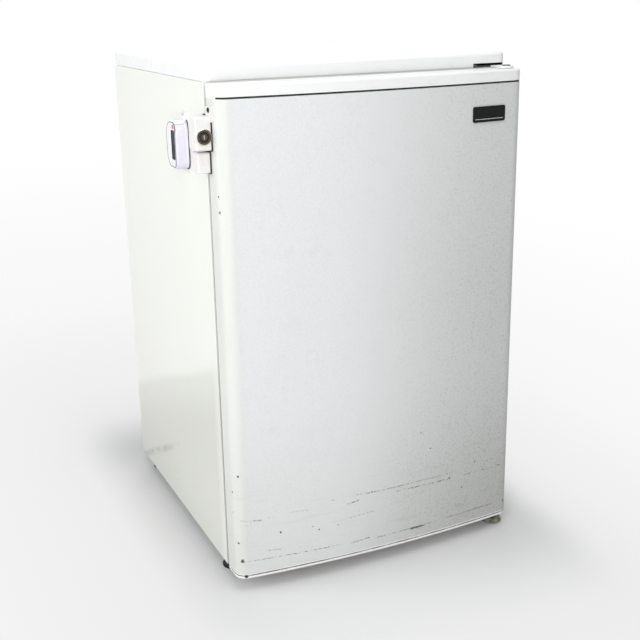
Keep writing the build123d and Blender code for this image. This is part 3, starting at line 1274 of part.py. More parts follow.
# Magnetic gasket: base, bellows neck and magnet head, all round the door
GASKET_LOW = DOOR_BOTTOM + GASKET_INSET
GASKET_TOP = DOOR_TOP - GASKET_INSET
GASKET_HALF = CABINET_WIDTH / 2 - GASKET_INSET
GASKET_DEPTH = DOOR_GAP - GASKET_CLEARANCE
with BuildPart() as door_gasket:
    for layer, draw_in in enumerate((0.0, GASKET_NECK, 0.0)):
        layer_y = Y_DOOR_REAR + (layer + 1) * GASKET_DEPTH / 3
        with BuildSketch(upright(layer_y)):
            with Locations((X_MID, (GASKET_LOW + GASKET_TOP) / 2)):
                RectangleRounded(
                    2 * (GASKET_HALF - draw_in),
                    GASKET_TOP - GASKET_LOW - 2 * draw_in,
                    GASKET_CORNER,
                )
                RectangleRounded(
                    2 * (GASKET_HALF - GASKET_WIDTH + draw_in),
                    GASKET_TOP - GASKET_LOW - 2 * (GASKET_WIDTH - draw_in),
                    GASKET_CORNER,
                    mode=Mode.SUBTRACT,
                )
        extrude(amount=GASKET_DEPTH / 3)
save(door_gasket, "door_gasket")

# Hinge bushes in both caps; the lower one has the flange that the door stands on
LOWER_BUSH_TOP = DOOR_BOTTOM + BUSH_LENGTH + HINGE_PIN
with BuildPart() as hinge_bushes:
    post(HINGE_AXIS, BUSH_DIAMETER, (DOOR_TOP - BUSH_LENGTH, DOOR_TOP))
    post(HINGE_AXIS, 2 * BUSH_BORE, (DOOR_TOP - BUSH_LENGTH + BUSH_FLOOR, DOOR_TOP + OVERCUT), Mode.SUBTRACT)
    post(HINGE_AXIS, BUSH_DIAMETER, (DOOR_BOTTOM, LOWER_BUSH_TOP))
    post(HINGE_AXIS, BUSH_FLANGE, (DOOR_BOTTOM - BUSH_FLANGE_HEIGHT, DOOR_BOTTOM))
    post(
        HINGE_AXIS,
        2 * BUSH_BORE,
        (DOOR_BOTTOM - BUSH_FLANGE_HEIGHT - OVERCUT, LOWER_BUSH_TOP - DRAIN_WALL),
        Mode.SUBTRACT,
    )
save(hinge_bushes, "hinge_bushes")

# Blank badge plate that follows the bow
BADGE_Z = DOOR_TOP - BADGE_DROP
with BuildPart() as badge_plate:
    with BuildSketch(upright(Y_DOOR_REAR)):
        with Locations((X_RIGHT - BADGE_INSET, BADGE_Z)):
            RectangleRounded(BADGE_LENGTH, BADGE_HEIGHT, BADGE_CORNER)
    extrude(amount=FRONT_REACH)
    extrude(
        door_plan(BADGE_Z - BADGE_HEIGHT, -BADGE_THICKNESS),
        amount=2 * BADGE_HEIGHT,
        mode=Mode.INTERSECT,
    )
    extrude(door_plan(BADGE_Z - BADGE_HEIGHT), amount=2 * BADGE_HEIGHT, mode=Mode.SUBTRACT)
save(badge_plate, "badge_plate")

# Door bins: open trays that drop over the lugs of the raised frame
BIN_NAMES = ("lower_door_bin", "middle_door_bin", "upper_door_bin")
Y_BIN = Y_DOOR_REAR + SEAT_GAP
for bin_name, bin_base, bin_height in zip(BIN_NAMES, BIN_BASES, BIN_HEIGHTS):
    with BuildPart() as door_bin:
        with BuildSketch(level(bin_base)):
            with Locations((X_MID, Y_BIN + BIN_DEPTH / 2)):
                RectangleRounded(2 * BIN_HALF, BIN_DEPTH, BIN_CORNER)
        extrude(amount=bin_height)
        fillet(door_bin.faces().sort_by(Axis.Z)[0].edges(), BIN_CORNER / 2)
        offset(amount=-BIN_WALL, openings=door_bin.faces().sort_by(Axis.Z)[-1])
        for wall in (-1, 1):
            wall_x = X_MID + wall * BIN_HALF
            slab(
                (wall_x - BIN_CORNER, wall_x + BIN_CORNER),
                (Y_DOOR_REAR + LUG_SETBACK - LUG_WIDTH - SEAT_GAP, Y_DOOR_REAR + LUG_SETBACK + SEAT_GAP),
                (bin_base - OVERCUT, bin_base + LUG_RISE + LUG_HEIGHT + SEAT_GAP),
                Mode.SUBTRACT,
            )
    save(door_bin, bin_name)

# Lock case on the door's left side, open to the door, with its screw flange
LOCK_OUTER = X_LEFT - LOCK_REACH
LOCK_FRONT = Y_FACE - LOCK_AHEAD
LOCK_BACK = Y_FACE + LOCK_BEHIND
LOCK_TOP = DOOR_TOP - LOCK_DROP
LOCK_LOW = LOCK_TOP - LOCK_HEIGHT
LOCK_X = X_LEFT - LOCK_REACH / 2
LOCK_Z = LOCK_TOP - LOCK_AXIS_DROP
FLANGE_FRONT = Y_FACE - FLANGE_AHEAD
FLANGE_SCREW_Y = FLANGE_FRONT + FLANGE_WIDTH / 2
FLANGE_SCREW_Z = LOCK_TOP + FLANGE_SCREW_RISE
BARREL_BACK = LOCK_FRONT + BARREL_LENGTH
CRANK_FRONT = BARREL_BACK + PLUG_FACE_GAP
CRANK_BACK = CRANK_FRONT + CRANK_SHEET
BOLT_FRONT = CRANK_BACK + BOLT_GAP
BOLT_BACK = BOLT_FRONT + BOLT_THICKNESS
BEZEL_DIAMETER = BARREL_DIAMETER + 2 * BEZEL_RIM
PLUG_FACE = BARREL_DIAMETER - 2 * PLUG_FACE_RIM
CRANK_DISC = 2 * (CRANK_RADIUS + CRANK_DISC_RIM)
PIN_RISE = CRANK_RADIUS * sin(radians(CRANK_ANGLE))
SLOT_HALF = CRANK_PIN / 2 + CRANK_SLOT_GAP
BOLT_LOW = LOCK_LOW + BOLT_GAP
TONGUE = (LOCK_X - TONGUE_OUTER, LOCK_X + TONGUE_INNER)
with BuildPart() as lock_case:
    slab((LOCK_OUTER, X_LEFT), (LOCK_FRONT, LOCK_BACK), (LOCK_LOW, LOCK_TOP))
    outer_edges = [e for e in lock_case.edges() if e.center().X < X_LEFT - NEAR]
    fillet(outer_edges, LOCK_ROUND)
    slab(
        (LOCK_OUTER + LOCK_WALL, X_LEFT + OVERCUT),
        (LOCK_FRONT + LOCK_WALL, LOCK_BACK - LOCK_WALL / 2),
        (LOCK_LOW + LOCK_WALL, LOCK_TOP - LOCK_WALL),
        Mode.SUBTRACT,
    )
    slab(
        (X_LEFT - LOCK_SIDE_RELIEF, X_LEFT + OVERCUT),
        (Y_DOOR_REAR, LOCK_BACK + OVERCUT),
        (LOCK_LOW - OVERCUT, LOCK_TOP + OVERCUT),
        Mode.SUBTRACT,
    )
    spindle(LOCK_X, LOCK_Z, BARREL_DIAMETER, (LOCK_FRONT - OVERCUT, BOLT_FRONT), Mode.SUBTRACT)
    slab(
        (TONGUE[0] - BOLT_GAP, TONGUE[1] + BOLT_GAP),
        (BOLT_FRONT - BOLT_GAP, BOLT_BACK + BOLT_GAP),
        (LOCK_LOW - OVERCUT, LOCK_LOW + LOCK_WALL + OVERCUT),
        Mode.SUBTRACT,
    )
    with BuildSketch(side(X_LEFT - FLANGE_SHEET)):
        with Locations((FLANGE_SCREW_Y, LOCK_TOP + FLANGE_HEIGHT / 2 - LOCK_WALL)):
            RectangleRounded(FLANGE_WIDTH, FLANGE_HEIGHT + 2 * LOCK_WALL, LOCK_ROUND)
        with Locations((FLANGE_SCREW_Y, FLANGE_SCREW_Z)):
            Circle(SCREW_SHANK / 2 + FIT_CLEARANCE, mode=Mode.SUBTRACT)
    extrude(amount=FLANGE_SHEET)
save(lock_case, "lock_case")

# Lock screw through the flange into the door skin
with BuildPart() as lock_screw:
    crosswise(
        FLANGE_SCREW_Y,
        FLANGE_SCREW_Z,
        LOCK_SCREW_HEAD,
        (X_LEFT - FLANGE_SHEET - SCREW_HEAD_HEIGHT, X_LEFT - FLANGE_SHEET),
    )
    fillet(lock_screw.edges().sort_by(Axis.X)[0], SCREW_HEAD_HEIGHT / 2)
    crosswise(FLANGE_SCREW_Y, FLANGE_SCREW_Z, SCREW_SHANK, (X_LEFT - FLANGE_SHEET, X_LEFT))
save(lock_screw, "lock_screw")

# Fixed lock barrel with its bright bezel
with BuildPart() as lock_barrel:
    spindle(LOCK_X, LOCK_Z, BEZEL_DIAMETER, (LOCK_FRONT - BEZEL_HEIGHT, LOCK_FRONT))
    chamfer(lock_barrel.edges().sort_by(Axis.Y)[0], BEZEL_HEIGHT / 2)
    spindle(LOCK_X, LOCK_Z, BARREL_DIAMETER, (LOCK_FRONT, BARREL_BACK))
    spindle(
        LOCK_X,
        LOCK_Z,
        PLUG_FACE + 2 * PLUG_FACE_GAP,
        (LOCK_FRONT - BEZEL_HEIGHT - OVERCUT, LOCK_FRONT - BEZEL_HEIGHT + PLUG_FACE_DEPTH),
        Mode.SUBTRACT,
    )
    spindle(
        LOCK_X,
        LOCK_Z,
        PLUG_SHANK + 2 * RUNNING_FIT,
        (LOCK_FRONT - BEZEL_HEIGHT, BARREL_BACK + OVERCUT),
        Mode.SUBTRACT,
    )
save(lock_barrel, "lock_barrel")

# Lock plug: keyed face, shank, and the crank that works the bolt
PLUG_FRONT = LOCK_FRONT - BEZEL_HEIGHT
PIN_X = LOCK_X + CRANK_RADIUS * cos(radians(CRANK_ANGLE))
PIN_Z = LOCK_Z + PIN_RISE
with BuildPart() as lock_plug:
    spindle(LOCK_X, LOCK_Z, PLUG_FACE, (PLUG_FRONT, PLUG_FRONT + PLUG_FACE_DEPTH - PLUG_FACE_GAP))
    spindle(LOCK_X, LOCK_Z, PLUG_SHANK, (PLUG_FRONT, CRANK_FRONT))
    spindle(LOCK_X, LOCK_Z, CRANK_DISC, (CRANK_FRONT, CRANK_BACK))
    spindle(PIN_X, PIN_Z, CRANK_PIN, (CRANK_BACK, BOLT_BACK))
    slab(
        (LOCK_X - KEY_SLOT_WIDTH / 2, LOCK_X + KEY_SLOT_WIDTH / 2),
        (PLUG_FRONT - OVERCUT, PLUG_FRONT + PLUG_FACE_DEPTH + KEY_SLOT_LENGTH),
        (LOCK_Z - KEY_SLOT_LENGTH / 2, LOCK_Z + KEY_SLOT_LENGTH / 2),
        Mode.SUBTRACT,
    )
save(lock_plug, "lock_plug")

# Lock bolt: yoke round the crank pin, tongue down towards the keeper
YOKE_INNER = LOCK_X + CRANK_RADIUS + SLOT_HALF + BOLT_YOKE_END
YOKE_LOW = PIN_Z - SLOT_HALF - BOLT_YOKE_WALL
YOKE_TOP = PIN_Z + SLOT_HALF + BOLT_YOKE_WALL
with BuildPart() as lock_bolt:
    slab((TONGUE[0], YOKE_INNER), (BOLT_FRONT, BOLT_BACK), (YOKE_LOW, YOKE_TOP))
    slab(TONGUE, (BOLT_FRONT, BOLT_BACK), (BOLT_LOW, YOKE_LOW))
    slab(
        (PIN_X - SLOT_HALF, LOCK_X + CRANK_RADIUS + SLOT_HALF),
        (BOLT_FRONT - OVERCUT, BOLT_BACK + OVERCUT),
        (PIN_Z - SLOT_HALF, PIN_Z + SLOT_HALF),
        Mode.SUBTRACT,
    )
save(lock_bolt, "lock_bolt")

# Keeper on the cabinet side, standing over the door's edge, with the bolt's slot on top
KEEPER_TOP = LOCK_LOW - KEEPER_GAP
KEEPER_LOW = KEEPER_TOP - KEEPER_HEIGHT
with BuildPart() as lock_keeper:
    slab(
        (X_LEFT - KEEPER_REACH, X_LEFT),
        (Y_FACE - KEEPER_AHEAD, Y_FACE + KEEPER_BEHIND),
        (KEEPER_LOW, KEEPER_TOP),
    )
    keeper_edges = [e for e in lock_keeper.edges() if e.center().X < X_LEFT - NEAR]
    fillet(keeper_edges, LOCK_ROUND)
    slab(
        (X_LEFT - KEEPER_SIDE_RELIEF, X_LEFT + OVERCUT),
        (Y_FACE - KEEPER_AHEAD - OVERCUT, Y_FACE),
        (KEEPER_LOW - OVERCUT, KEEPER_TOP + OVERCUT),
        Mode.SUBTRACT,
    )
    slab(
        (TONGUE[0] - KEEPER_SLOT_GAP, TONGUE[1] + KEEPER_SLOT_GAP),
        (BOLT_FRONT - KEEPER_SLOT_GAP, BOLT_BACK + KEEPER_SLOT_GAP),
        (KEEPER_TOP - KEEPER_SLOT_DEPTH, KEEPER_TOP + OVERCUT),
        Mode.SUBTRACT,
    )
save(lock_keeper, "lock_keeper")


def monitor_outline(x):
    """Side view of the monitor: near-straight front edge and a rounder rear edge."""
    with BuildSketch(side(x)) as outline:
        with Locations((MONITOR_Y, MONITOR_Z)):
            Rectangle(MONITOR_LENGTH, MONITOR_HEIGHT)
        fillet(outline.vertices().group_by(Axis.Y)[0], MONITOR_FRONT_CORNER)
        fillet(outline.vertices().group_by(Axis.Y)[-1], MONITOR_REAR_CORNER)
    return outline.sketch


# Monitor back plate with its hanging tab
with BuildPart() as monitor_backplate:
    extrude(monitor_outline(X_LEFT - MONITOR_BACK), amount=MONITOR_BACK)
    with BuildSketch(side(X_LEFT - TAB_SHEET)):
        with Locations((MONITOR_Y - MONITOR_LENGTH / 8, MONITOR_TOP + TAB_RISE / 2 - LOCK_WALL / 2)):
            RectangleRounded(TAB_WIDTH, TAB_RISE + LOCK_WALL, LOCK_ROUND)
        with Locations((MONITOR_Y - MONITOR_LENGTH / 8, MONITOR_TOP + TAB_SLOT_RISE)):
            SlotOverall(TAB_SLOT, LOCK_WALL, mode=Mode.SUBTRACT)
    extrude(amount=TAB_SHEET)
save(monitor_backplate, "monitor_backplate")

# Monitor case with the recesses of its window and lamp
WINDOW_Y = Y_FACE + MONITOR_SETBACK + WINDOW_INSET + WINDOW_WIDTH / 2
MONITOR_FACE = X_LEFT - MONITOR_REACH
LAMP_Z = MONITOR_Z + LAMP_RISE
with BuildPart() as monitor_case:
    extrude(monitor_outline(MONITOR_FACE), amount=MONITOR_REACH - MONITOR_BACK)
    fillet(monitor_case.faces().sort_by(Axis.X)[0].edges(), MONITOR_ROUND)
    with BuildSketch(side(MONITOR_FACE)):
        with Locations((WINDOW_Y, MONITOR_Z)):
            RectangleRounded(WINDOW_WIDTH, WINDOW_HEIGHT, LOCK_ROUND)
        with Locations((WINDOW_Y, LAMP_Z)):
            RectangleRounded(LAMP_WIDTH, LAMP_HEIGHT, LOCK_ROUND / 2)
    extrude(amount=WINDOW_DEPTH, mode=Mode.SUBTRACT)
save(monitor_case, "monitor_case")

with BuildPart() as monitor_window:
    with BuildSketch(side(MONITOR_FACE)):
        with Locations((WINDOW_Y, MONITOR_Z)):
            RectangleRounded(WINDOW_WIDTH, WINDOW_HEIGHT, LOCK_ROUND)
    extrude(amount=WINDOW_DEPTH)
save(monitor_window, "monitor_window")

with BuildPart() as monitor_lamp:
    with BuildSketch(side(MONITOR_FACE)):
        with Locations((WINDOW_Y, LAMP_Z)):
            RectangleRounded(LAMP_WIDTH, LAMP_HEIGHT, LOCK_ROUND / 2)
    extrude(amount=WINDOW_DEPTH)
save(monitor_lamp, "monitor_lamp")
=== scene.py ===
"""Compact refrigerator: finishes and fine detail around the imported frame."""

import json
import math

import bmesh
import bpy
from mathutils import Matrix, Vector


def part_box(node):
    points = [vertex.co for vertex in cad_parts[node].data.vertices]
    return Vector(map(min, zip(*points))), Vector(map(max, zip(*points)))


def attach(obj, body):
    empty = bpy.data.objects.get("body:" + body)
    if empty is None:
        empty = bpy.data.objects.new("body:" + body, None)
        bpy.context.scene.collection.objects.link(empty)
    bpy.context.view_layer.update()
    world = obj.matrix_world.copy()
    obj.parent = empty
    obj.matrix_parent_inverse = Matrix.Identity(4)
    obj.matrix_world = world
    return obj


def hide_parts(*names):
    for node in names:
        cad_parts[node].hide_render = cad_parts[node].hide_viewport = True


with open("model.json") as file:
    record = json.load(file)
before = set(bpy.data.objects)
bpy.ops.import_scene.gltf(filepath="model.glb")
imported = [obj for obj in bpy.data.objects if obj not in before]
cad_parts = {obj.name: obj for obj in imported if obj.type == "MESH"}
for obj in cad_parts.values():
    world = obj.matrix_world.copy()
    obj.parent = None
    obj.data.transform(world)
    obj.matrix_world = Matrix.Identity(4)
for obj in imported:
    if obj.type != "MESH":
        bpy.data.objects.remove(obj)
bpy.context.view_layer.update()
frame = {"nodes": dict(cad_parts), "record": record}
cad = frame["nodes"]


def operator(kind, swapped=False):
    """A method that adds one Math node."""

    def apply(self, other=0.0):
        first, second = (other, self) if swapped else (self, other)
        return self.graph.node("ShaderNodeMath", {0: first, 1: second}, operation=kind)

    return apply


class Value:
    """A socket used in an expression; arithmetic on it adds Math nodes."""

    def __init__(self, graph, socket):
        self.graph = graph
        self.socket = socket

    __add__, __radd__ = operator("ADD"), operator("ADD", True)
    __sub__, __rsub__ = operator("SUBTRACT"), operator("SUBTRACT", True)
    __mul__, __rmul__ = operator("MULTIPLY"), operator("MULTIPLY", True)
    __pow__ = operator("POWER")
    __abs__ = operator("ABSOLUTE")
    most = operator("MAXIMUM")
    cosine = operator("COSINE")
    sine = operator("SINE")


class Graph:
    """A node tree that one method fills."""

    def node(self, kind, sockets=None, out=0, **settings):
        """Add one node: settings, then values or links of its sockets; None leaves one alone."""
        made = self.tree.nodes.new(kind)
        for key, value in settings.items():
            setattr(made, key, value)
        for key, value in (sockets or {}).items():
            if value is None:
                continue
            socket = made.inputs[key]
            links = value if isinstance(value, list) else [value]
            if isinstance(links[0], Value):
                for link in links:
                    self.tree.links.new(link.socket, socket)
            elif socket.type == "RGBA" and len(value) == 3:
                socket.default_value = (*value, 1.0)
            else:
                socket.default_value = value
        if len(made.outputs) == 0:
            return made
        return Value(self, made.outputs[out])

    def vector(self, x=0.0, y=0.0, z=0.0):
        return self.node("ShaderNodeCombineXYZ", {0: x, 1: y, 2: z})


class Finish(Graph):
    """One procedural material whose patterns sit on object coordinates, in metres."""

    def __init__(self, name):
        self.material = bpy.data.materials.new(name)
        self.material.use_nodes = True
        self.tree = self.material.node_tree
        self.tree.nodes.clear()
        self.colour = None
        self.place = self.node("ShaderNodeTexCoord", out="Object")
        self.x, self.y, self.z = (
            self.node("ShaderNodeSeparateXYZ", {0: self.place}, out=axis) for axis in "XYZ"
        )

    def stretched(self, scale):
        return self.node("ShaderNodeMapping", {"Vector": self.place, "Scale": scale})

    def noise(self, scale, detail=3.0, rough=0.55, at=None):
        sockets = {"Vector": at or self.place, "Scale": scale, "Detail": detail, "Roughness": rough}
        return self.node("ShaderNodeTexNoise", sockets)

    def cells(self, scale, out="Distance"):
        return self.node("ShaderNodeTexVoronoi", {"Vector": self.place, "Scale": scale}, out=out)

    def patches(self, scale, low, high, detail=5.0, rough=0.7):
        """1 in soft patches, 0 between them."""
        return self.ramp(self.noise(scale, detail, rough), low, high)

    def ramp(self, value, low, high):
        """0 at low, 1 at high, smooth between and flat beyond."""
        sockets = {"Value": value, "From Min": low, "From Max": high}
        if low > high:
            sockets.update({"From Min": high, "From Max": low, "To Min": 1.0, "To Max": 0.0})
        return self.node("ShaderNodeMapRange", sockets, interpolation_type="SMOOTHSTEP")

    def band(self, value, low, high, soft):
        """1 between two limits, with soft ends."""
        return self.ramp(value, low - soft, low) * self.ramp(value, high + soft, high)

    def blend(self, share, first, second):
        return self.node("ShaderNodeMix", {0: share, 6: first, 7: second}, out=2, data_type="RGBA")

    def tint(self, share, colour, base=None):
        """Lay a share of a colour over the one so far, or over a base to begin with."""
        self.colour = self.blend(share, base or self.colour, colour)

    def bump(self, height, depth, strength, under=None):
        """Normal that follows a height of 0 to 1 times depth, in metres."""
        sockets = {"Height": height, "Distance": depth, "Strength": strength, "Normal": under}
        return self.node("ShaderNodeBump", sockets)

    def spark(self, scale):
        """Normal of a fine spark texture, as moulds leave it on plastic."""
        return self.bump(self.noise(scale, 2.0, 0.6), 0.00012, 0.45)

    def edge_wear(self, radius, low, high):
        """1 on edges, where a rounded normal leaves the face's own."""
        rounded = self.node("ShaderNodeBevel", {"Radius": radius}, samples=4)
        face = self.node("ShaderNodeNewGeometry", out="Normal")
        pair = {0: rounded, 1: face}
        agree = self.node("ShaderNodeVectorMath", pair, out="Value", operation="DOT_PRODUCT")
        return self.ramp(1.0 - agree, low, high)

    def upward(self):
        """1 on faces that look up, where dust lies."""
        normal = self.node("ShaderNodeNewGeometry", out="Normal")
        lift = self.node("ShaderNodeSeparateXYZ", {0: normal}, out="Z")
        return self.ramp(lift, 0.3, 0.9)

    def shade(self, rough, normal=None, **sockets):
        """Close the material with a principled shader; underscores stand for spaces."""
        named = {key.replace("_", " "): value for key, value in sockets.items()}
        named.update({"Base Color": self.colour, "Roughness": rough, "Normal": normal})
        surface = self.node("ShaderNodeBsdfPrincipled", named)
        self.node("ShaderNodeOutputMaterial", {"Surface": surface})
        return self.material


def side_enamel():
    """Smooth ivory enamel of the wrapper: faint ripple, a smudge, and a painted reflection low on the left
    side, grey with a lighter band above it.
    """
    f = Finish("side_enamel")
    cloud = f.noise(3.2, 4.0, 0.6)
    # Painted reflection low on the left side: grey below an edge that tilts with depth, with a lighter band
    # painted above it; on the other faces the grey only darkens towards the bottom.
    edge = f.z + 0.38 * f.y + 0.02 * (cloud - 0.5)
    painted_reflection_low_grey = 0.60 * f.ramp(edge, 0.304, 0.276) + 0.40 * f.ramp(edge, 0.290, 0.200)
    painted_reflection_low_grey = painted_reflection_low_grey * (1.0 - 0.20 * f.ramp(edge, 0.17, 0.02)) * (0.84 + 0.16 * cloud)
    painted_reflection_low_grey = painted_reflection_low_grey * (0.60 + 0.40 * f.ramp(f.y, -0.228, -0.204))
    leftward = f.ramp(f.x, -0.20, -0.24)
    painted_reflection_low_grey = painted_reflection_low_grey * leftward + 0.35 * f.ramp(f.z, 0.45, 0.05) * (1.0 - leftward)
    band = f.band(edge, 0.33, 0.36, 0.03)
    specks = f.ramp(f.cells(36.0), 0.05, 0.025) * f.ramp(f.noise(8.0), 0.56, 0.66)
    specks = specks * f.ramp(f.z, 0.75, 0.2)
    rub = f.ramp(abs(f.z + 0.4816 * f.y - 0.1555), 0.012, 0.001) * f.ramp(f.y, -0.03, 0.14)
    rub = rub * f.patches(42.0, 0.34, 0.60, 4.0) * leftward
    grit = f.ramp(f.cells(130.0), 0.20, 0.10) * f.ramp(f.noise(30.0, 3.0), 0.50, 0.58)
    grit = grit * f.band(f.z + 0.45 * f.y, 0.05, 0.11, 0.03) * f.ramp(f.y, -0.10, 0.02) * leftward
    # The painted reflection and its lighter band first, then the smudge, specks and grit.
    f.tint(painted_reflection_low_grey, (0.625, 0.631, 0.580), (0.860, 0.872, 0.812))
    f.tint(0.45 * band, (0.88, 0.885, 0.84))
    f.tint(0.55 * rub, (0.27, 0.28, 0.24))
    f.tint((0.65 * specks).most(0.6 * grit), (0.30, 0.29, 0.26))
    ripple = f.noise(11.0, 2.0, 0.4)
    peel = f.noise(420.0, 2.0, 0.5)
    normal = f.bump(ripple, 0.0020, 0.30)
    normal = f.bump(peel, 0.0001, 0.30, under=normal)
    return f.shade(0.26 + 0.10 * cloud + 0.10 * painted_reflection_low_grey, normal, Coat_Weight=0.30, Coat_Roughness=0.15)


CORNER = 0.020
CORNER_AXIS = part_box("door_panel")[0][0] + CORNER
# Left end in x and z, right end in x and z, half width, weight
KICK_MARKS = (
    (-0.2443, 0.0568, -0.0740, 0.0531, 0.0008, 0.72),
    (-0.0499, 0.0510, -0.0189, 0.0536, 0.0013, 0.75),
    (-0.2006, 0.0706, -0.1800, 0.0689, 0.0009, 0.70),
    (-0.2419, 0.1315, -0.2261, 0.1284, 0.0013, 0.45),
    (-0.2212, 0.1292, -0.2124, 0.1279, 0.0014, 0.85),
    (-0.2018, 0.1307, -0.1904, 0.1293, 0.0009, 0.40),
    (-0.1590, 0.1326, -0.1322, 0.1306, 0.0011, 0.60),
    (-0.2383, 0.1230, -0.2280, 0.1218, 0.0010, 0.45),
    (-0.0562, 0.1258, -0.0384, 0.1290, 0.0012, 0.70),
    (-0.0401, 0.1392, -0.0076, 0.1392, 0.0008, 0.70),
    (-0.0689, 0.0982, -0.0077, 0.1022, 0.0010, 0.55),
    (-0.0215, 0.1377, 0.1473, 0.1382, 0.0008, 0.72),
    (0.0357, 0.1291, 0.1455, 0.1275, 0.0013, 0.62),
    (0.1744, 0.1268, 0.2542, 0.1271, 0.0013, 0.55),
    (-0.0017, 0.0501, 0.1084, 0.0518, 0.0009, 0.70),
    (0.0649, 0.0500, 0.0905, 0.0499, 0.0018, 0.95),
    (0.1410, 0.0526, 0.2371, 0.0531, 0.0009, 0.85),
)
# Place in x and z, radius
CHIPS = (
    (-0.2446, 0.2110, 0.0022),
    (-0.2515, 0.1812, 0.0020),
    (-0.2515, 0.1449, 0.0013),
    (-0.2476, 0.0907, 0.0024),
    (-0.2434, 0.0581, 0.0040),
    (-0.1777, 0.0995, 0.0021),
    (-0.1101, 0.0903, 0.0016),
    (-0.0752, 0.0915, 0.0015),
    (-0.0841, 0.1390, 0.0013),
    (-0.1211, 0.0981, 0.0012),
    (0.1708, 0.1043, 0.0020),
    (0.1980, 0.1471, 0.0016),
    (0.0834, 0.2279, 0.0016),
    (0.1032, 0.1950, 0.0014),
    (0.1434, 0.1290, 0.0022),
    (0.2676, 0.0513, 0.0030),
    (-0.2512, 0.6631, 0.0018),
    (-0.2508, 0.6391, 0.0024),
)


def door_enamel():
    """Pebbled enamel of the door skin: kick marks low down, chips, painted shade on the left corner, low
    down and towards the right, and specks of grime at the lower right.

    Chips on the left corner are stretched, so that they stay round on the turned face.
    """
    f = Finish("door_enamel")
    pebble = f.noise(260.0, 2.0, 0.5)
    grain = f.noise(900.0, 2.0, 0.6)
    cloud = f.noise(2.6, 4.0, 0.6)
    stipple = f.noise(320.0, 3.0, 0.7)
    patch = f.noise(24.0, 5.0, 0.65)
    f.tint(f.ramp(stipple, 0.34, 0.66), (0.792, 0.805, 0.805), (0.736, 0.753, 0.753))
    # Painted shade: the rounded left corner is darker.
    f.tint(f.ramp(f.x, -0.222, -0.250), (0.735, 0.745, 0.710))
    # Painted shade: darker low down and towards the right of the front face; the same masks also weight the
    # smears, grit and specks of grime.
    low_shade_and_grime = f.ramp(f.z, 0.36, 0.02) * (0.45 + 0.55 * cloud)
    front = f.ramp(f.y, -0.268, -0.276)
    right_shade_and_grime = f.ramp(f.x, -0.10, 0.27) * (0.40 + 0.60 * front)
    f.tint(0.48 * low_shade_and_grime, (0.560, 0.572, 0.548))
    lower = f.ramp(f.z, 0.80, 0.40)
    f.tint(right_shade_and_grime * (0.53 + 0.29 * lower), (0.575, 0.581, 0.577))
    f.tint(0.72 * right_shade_and_grime * low_shade_and_grime, (0.380, 0.388, 0.365))
    smear = f.noise(16.0, 5.0, 0.7, at=f.stretched((0.6, 1.0, 5.0)))
    smears = f.ramp(smear, 0.54, 0.74) * f.band(f.z, 0.05, 0.17, 0.06) * (0.25 + 0.75 * right_shade_and_grime)
    f.tint(0.65 * smears, (0.40, 0.39, 0.355))
    f.tint(0.16 * f.ramp(patch, 0.56, 0.74), (0.60, 0.61, 0.60))
    pits = f.ramp(stipple, 0.52, 0.62) * (0.03 + right_shade_and_grime * (0.28 + 0.14 * lower + 0.44 * low_shade_and_grime))
    f.tint(pits, (0.36, 0.355, 0.32))
    wobble = 0.0030 * (f.noise(34.0, 3.0, 0.6) - 0.5)
    broken = f.noise(230.0, 4.0, 0.8)
    gaps = f.ramp(f.noise(52.0, 2.0), 0.40, 0.50)
    kicks = None
    for left, left_z, right, right_z, width, weight in KICK_MARKS:
        along = left_z + (f.x - left) * ((right_z - left_z) / (right - left)) + wobble
        line = f.ramp(abs(f.z - along), 1.35 * width, 0.45 * width) * f.band(f.x, left, right, 0.004)
        line = line * f.ramp(broken, 0.58 - 0.16 * weight, 0.64 - 0.16 * weight) * weight**0.6
        kicks = line if kicks is None else kicks.most(line)
    ragged = f.noise(420.0, 3.0, 0.7)
    chips = None
    for chip_x, chip_z, size in CHIPS:
        lean = max(CORNER_AXIS - chip_x, 0.0) / CORNER
        stretch = 1.0 / math.sqrt(1.0 - lean**2)
        far = (((f.x - chip_x) * stretch) ** 2.0 + (f.z - chip_z) ** 2.0) ** 0.5
        spot = f.ramp(far + (ragged - 0.5) * (2.2 * size), size, 0.5 * size)
        chips = spot if chips is None else chips.most(spot)
    kicks = kicks * front * (0.60 + 0.40 * gaps)
    chips = chips * front
    f.tint(kicks, (0.085, 0.08, 0.07))
    grit = f.ramp(f.cells(230.0), 0.26, 0.12) * f.ramp(f.noise(24.0, 3.0), 0.46, 0.60)
    grit = grit * f.band(f.z, 0.05, 0.15, 0.07) * (0.10 + 0.90 * right_shade_and_grime)
    f.tint(0.75 * grit, (0.15, 0.14, 0.12))
    dots = f.ramp(f.cells(62.0), 0.055, 0.03) * f.ramp(f.noise(17.0), 0.57, 0.66)
    dots = dots * f.ramp(f.z, 0.40, 0.08)
    f.tint(0.75 * dots, (0.16, 0.15, 0.14))
    f.tint(0.95 * chips, (0.035, 0.033, 0.030))
    height = 0.75 * pebble + 0.25 * grain
    normal = f.bump(height, 0.00055, 0.75)
    normal = f.bump(1.0 - kicks.most(chips), 0.0003, 0.6, under=normal)
    return f.shade(0.42 + 0.08 * cloud + 0.2 * kicks, normal)


def aged(f, base, worn, shadow, grime, patch=38.0, top=0.74):
    """Lay slow tone changes and patches of grime on plastic, and give the roughness that they add."""
    cloud = f.noise(9.0, 4.0, 0.6)
    dirt = f.patches(patch, 0.52, top)
    f.tint(f.ramp(cloud, 0.3, 0.75), worn, base)
    f.tint(grime * dirt, shadow)
    return 0.12 * cloud + 0.15 * dirt


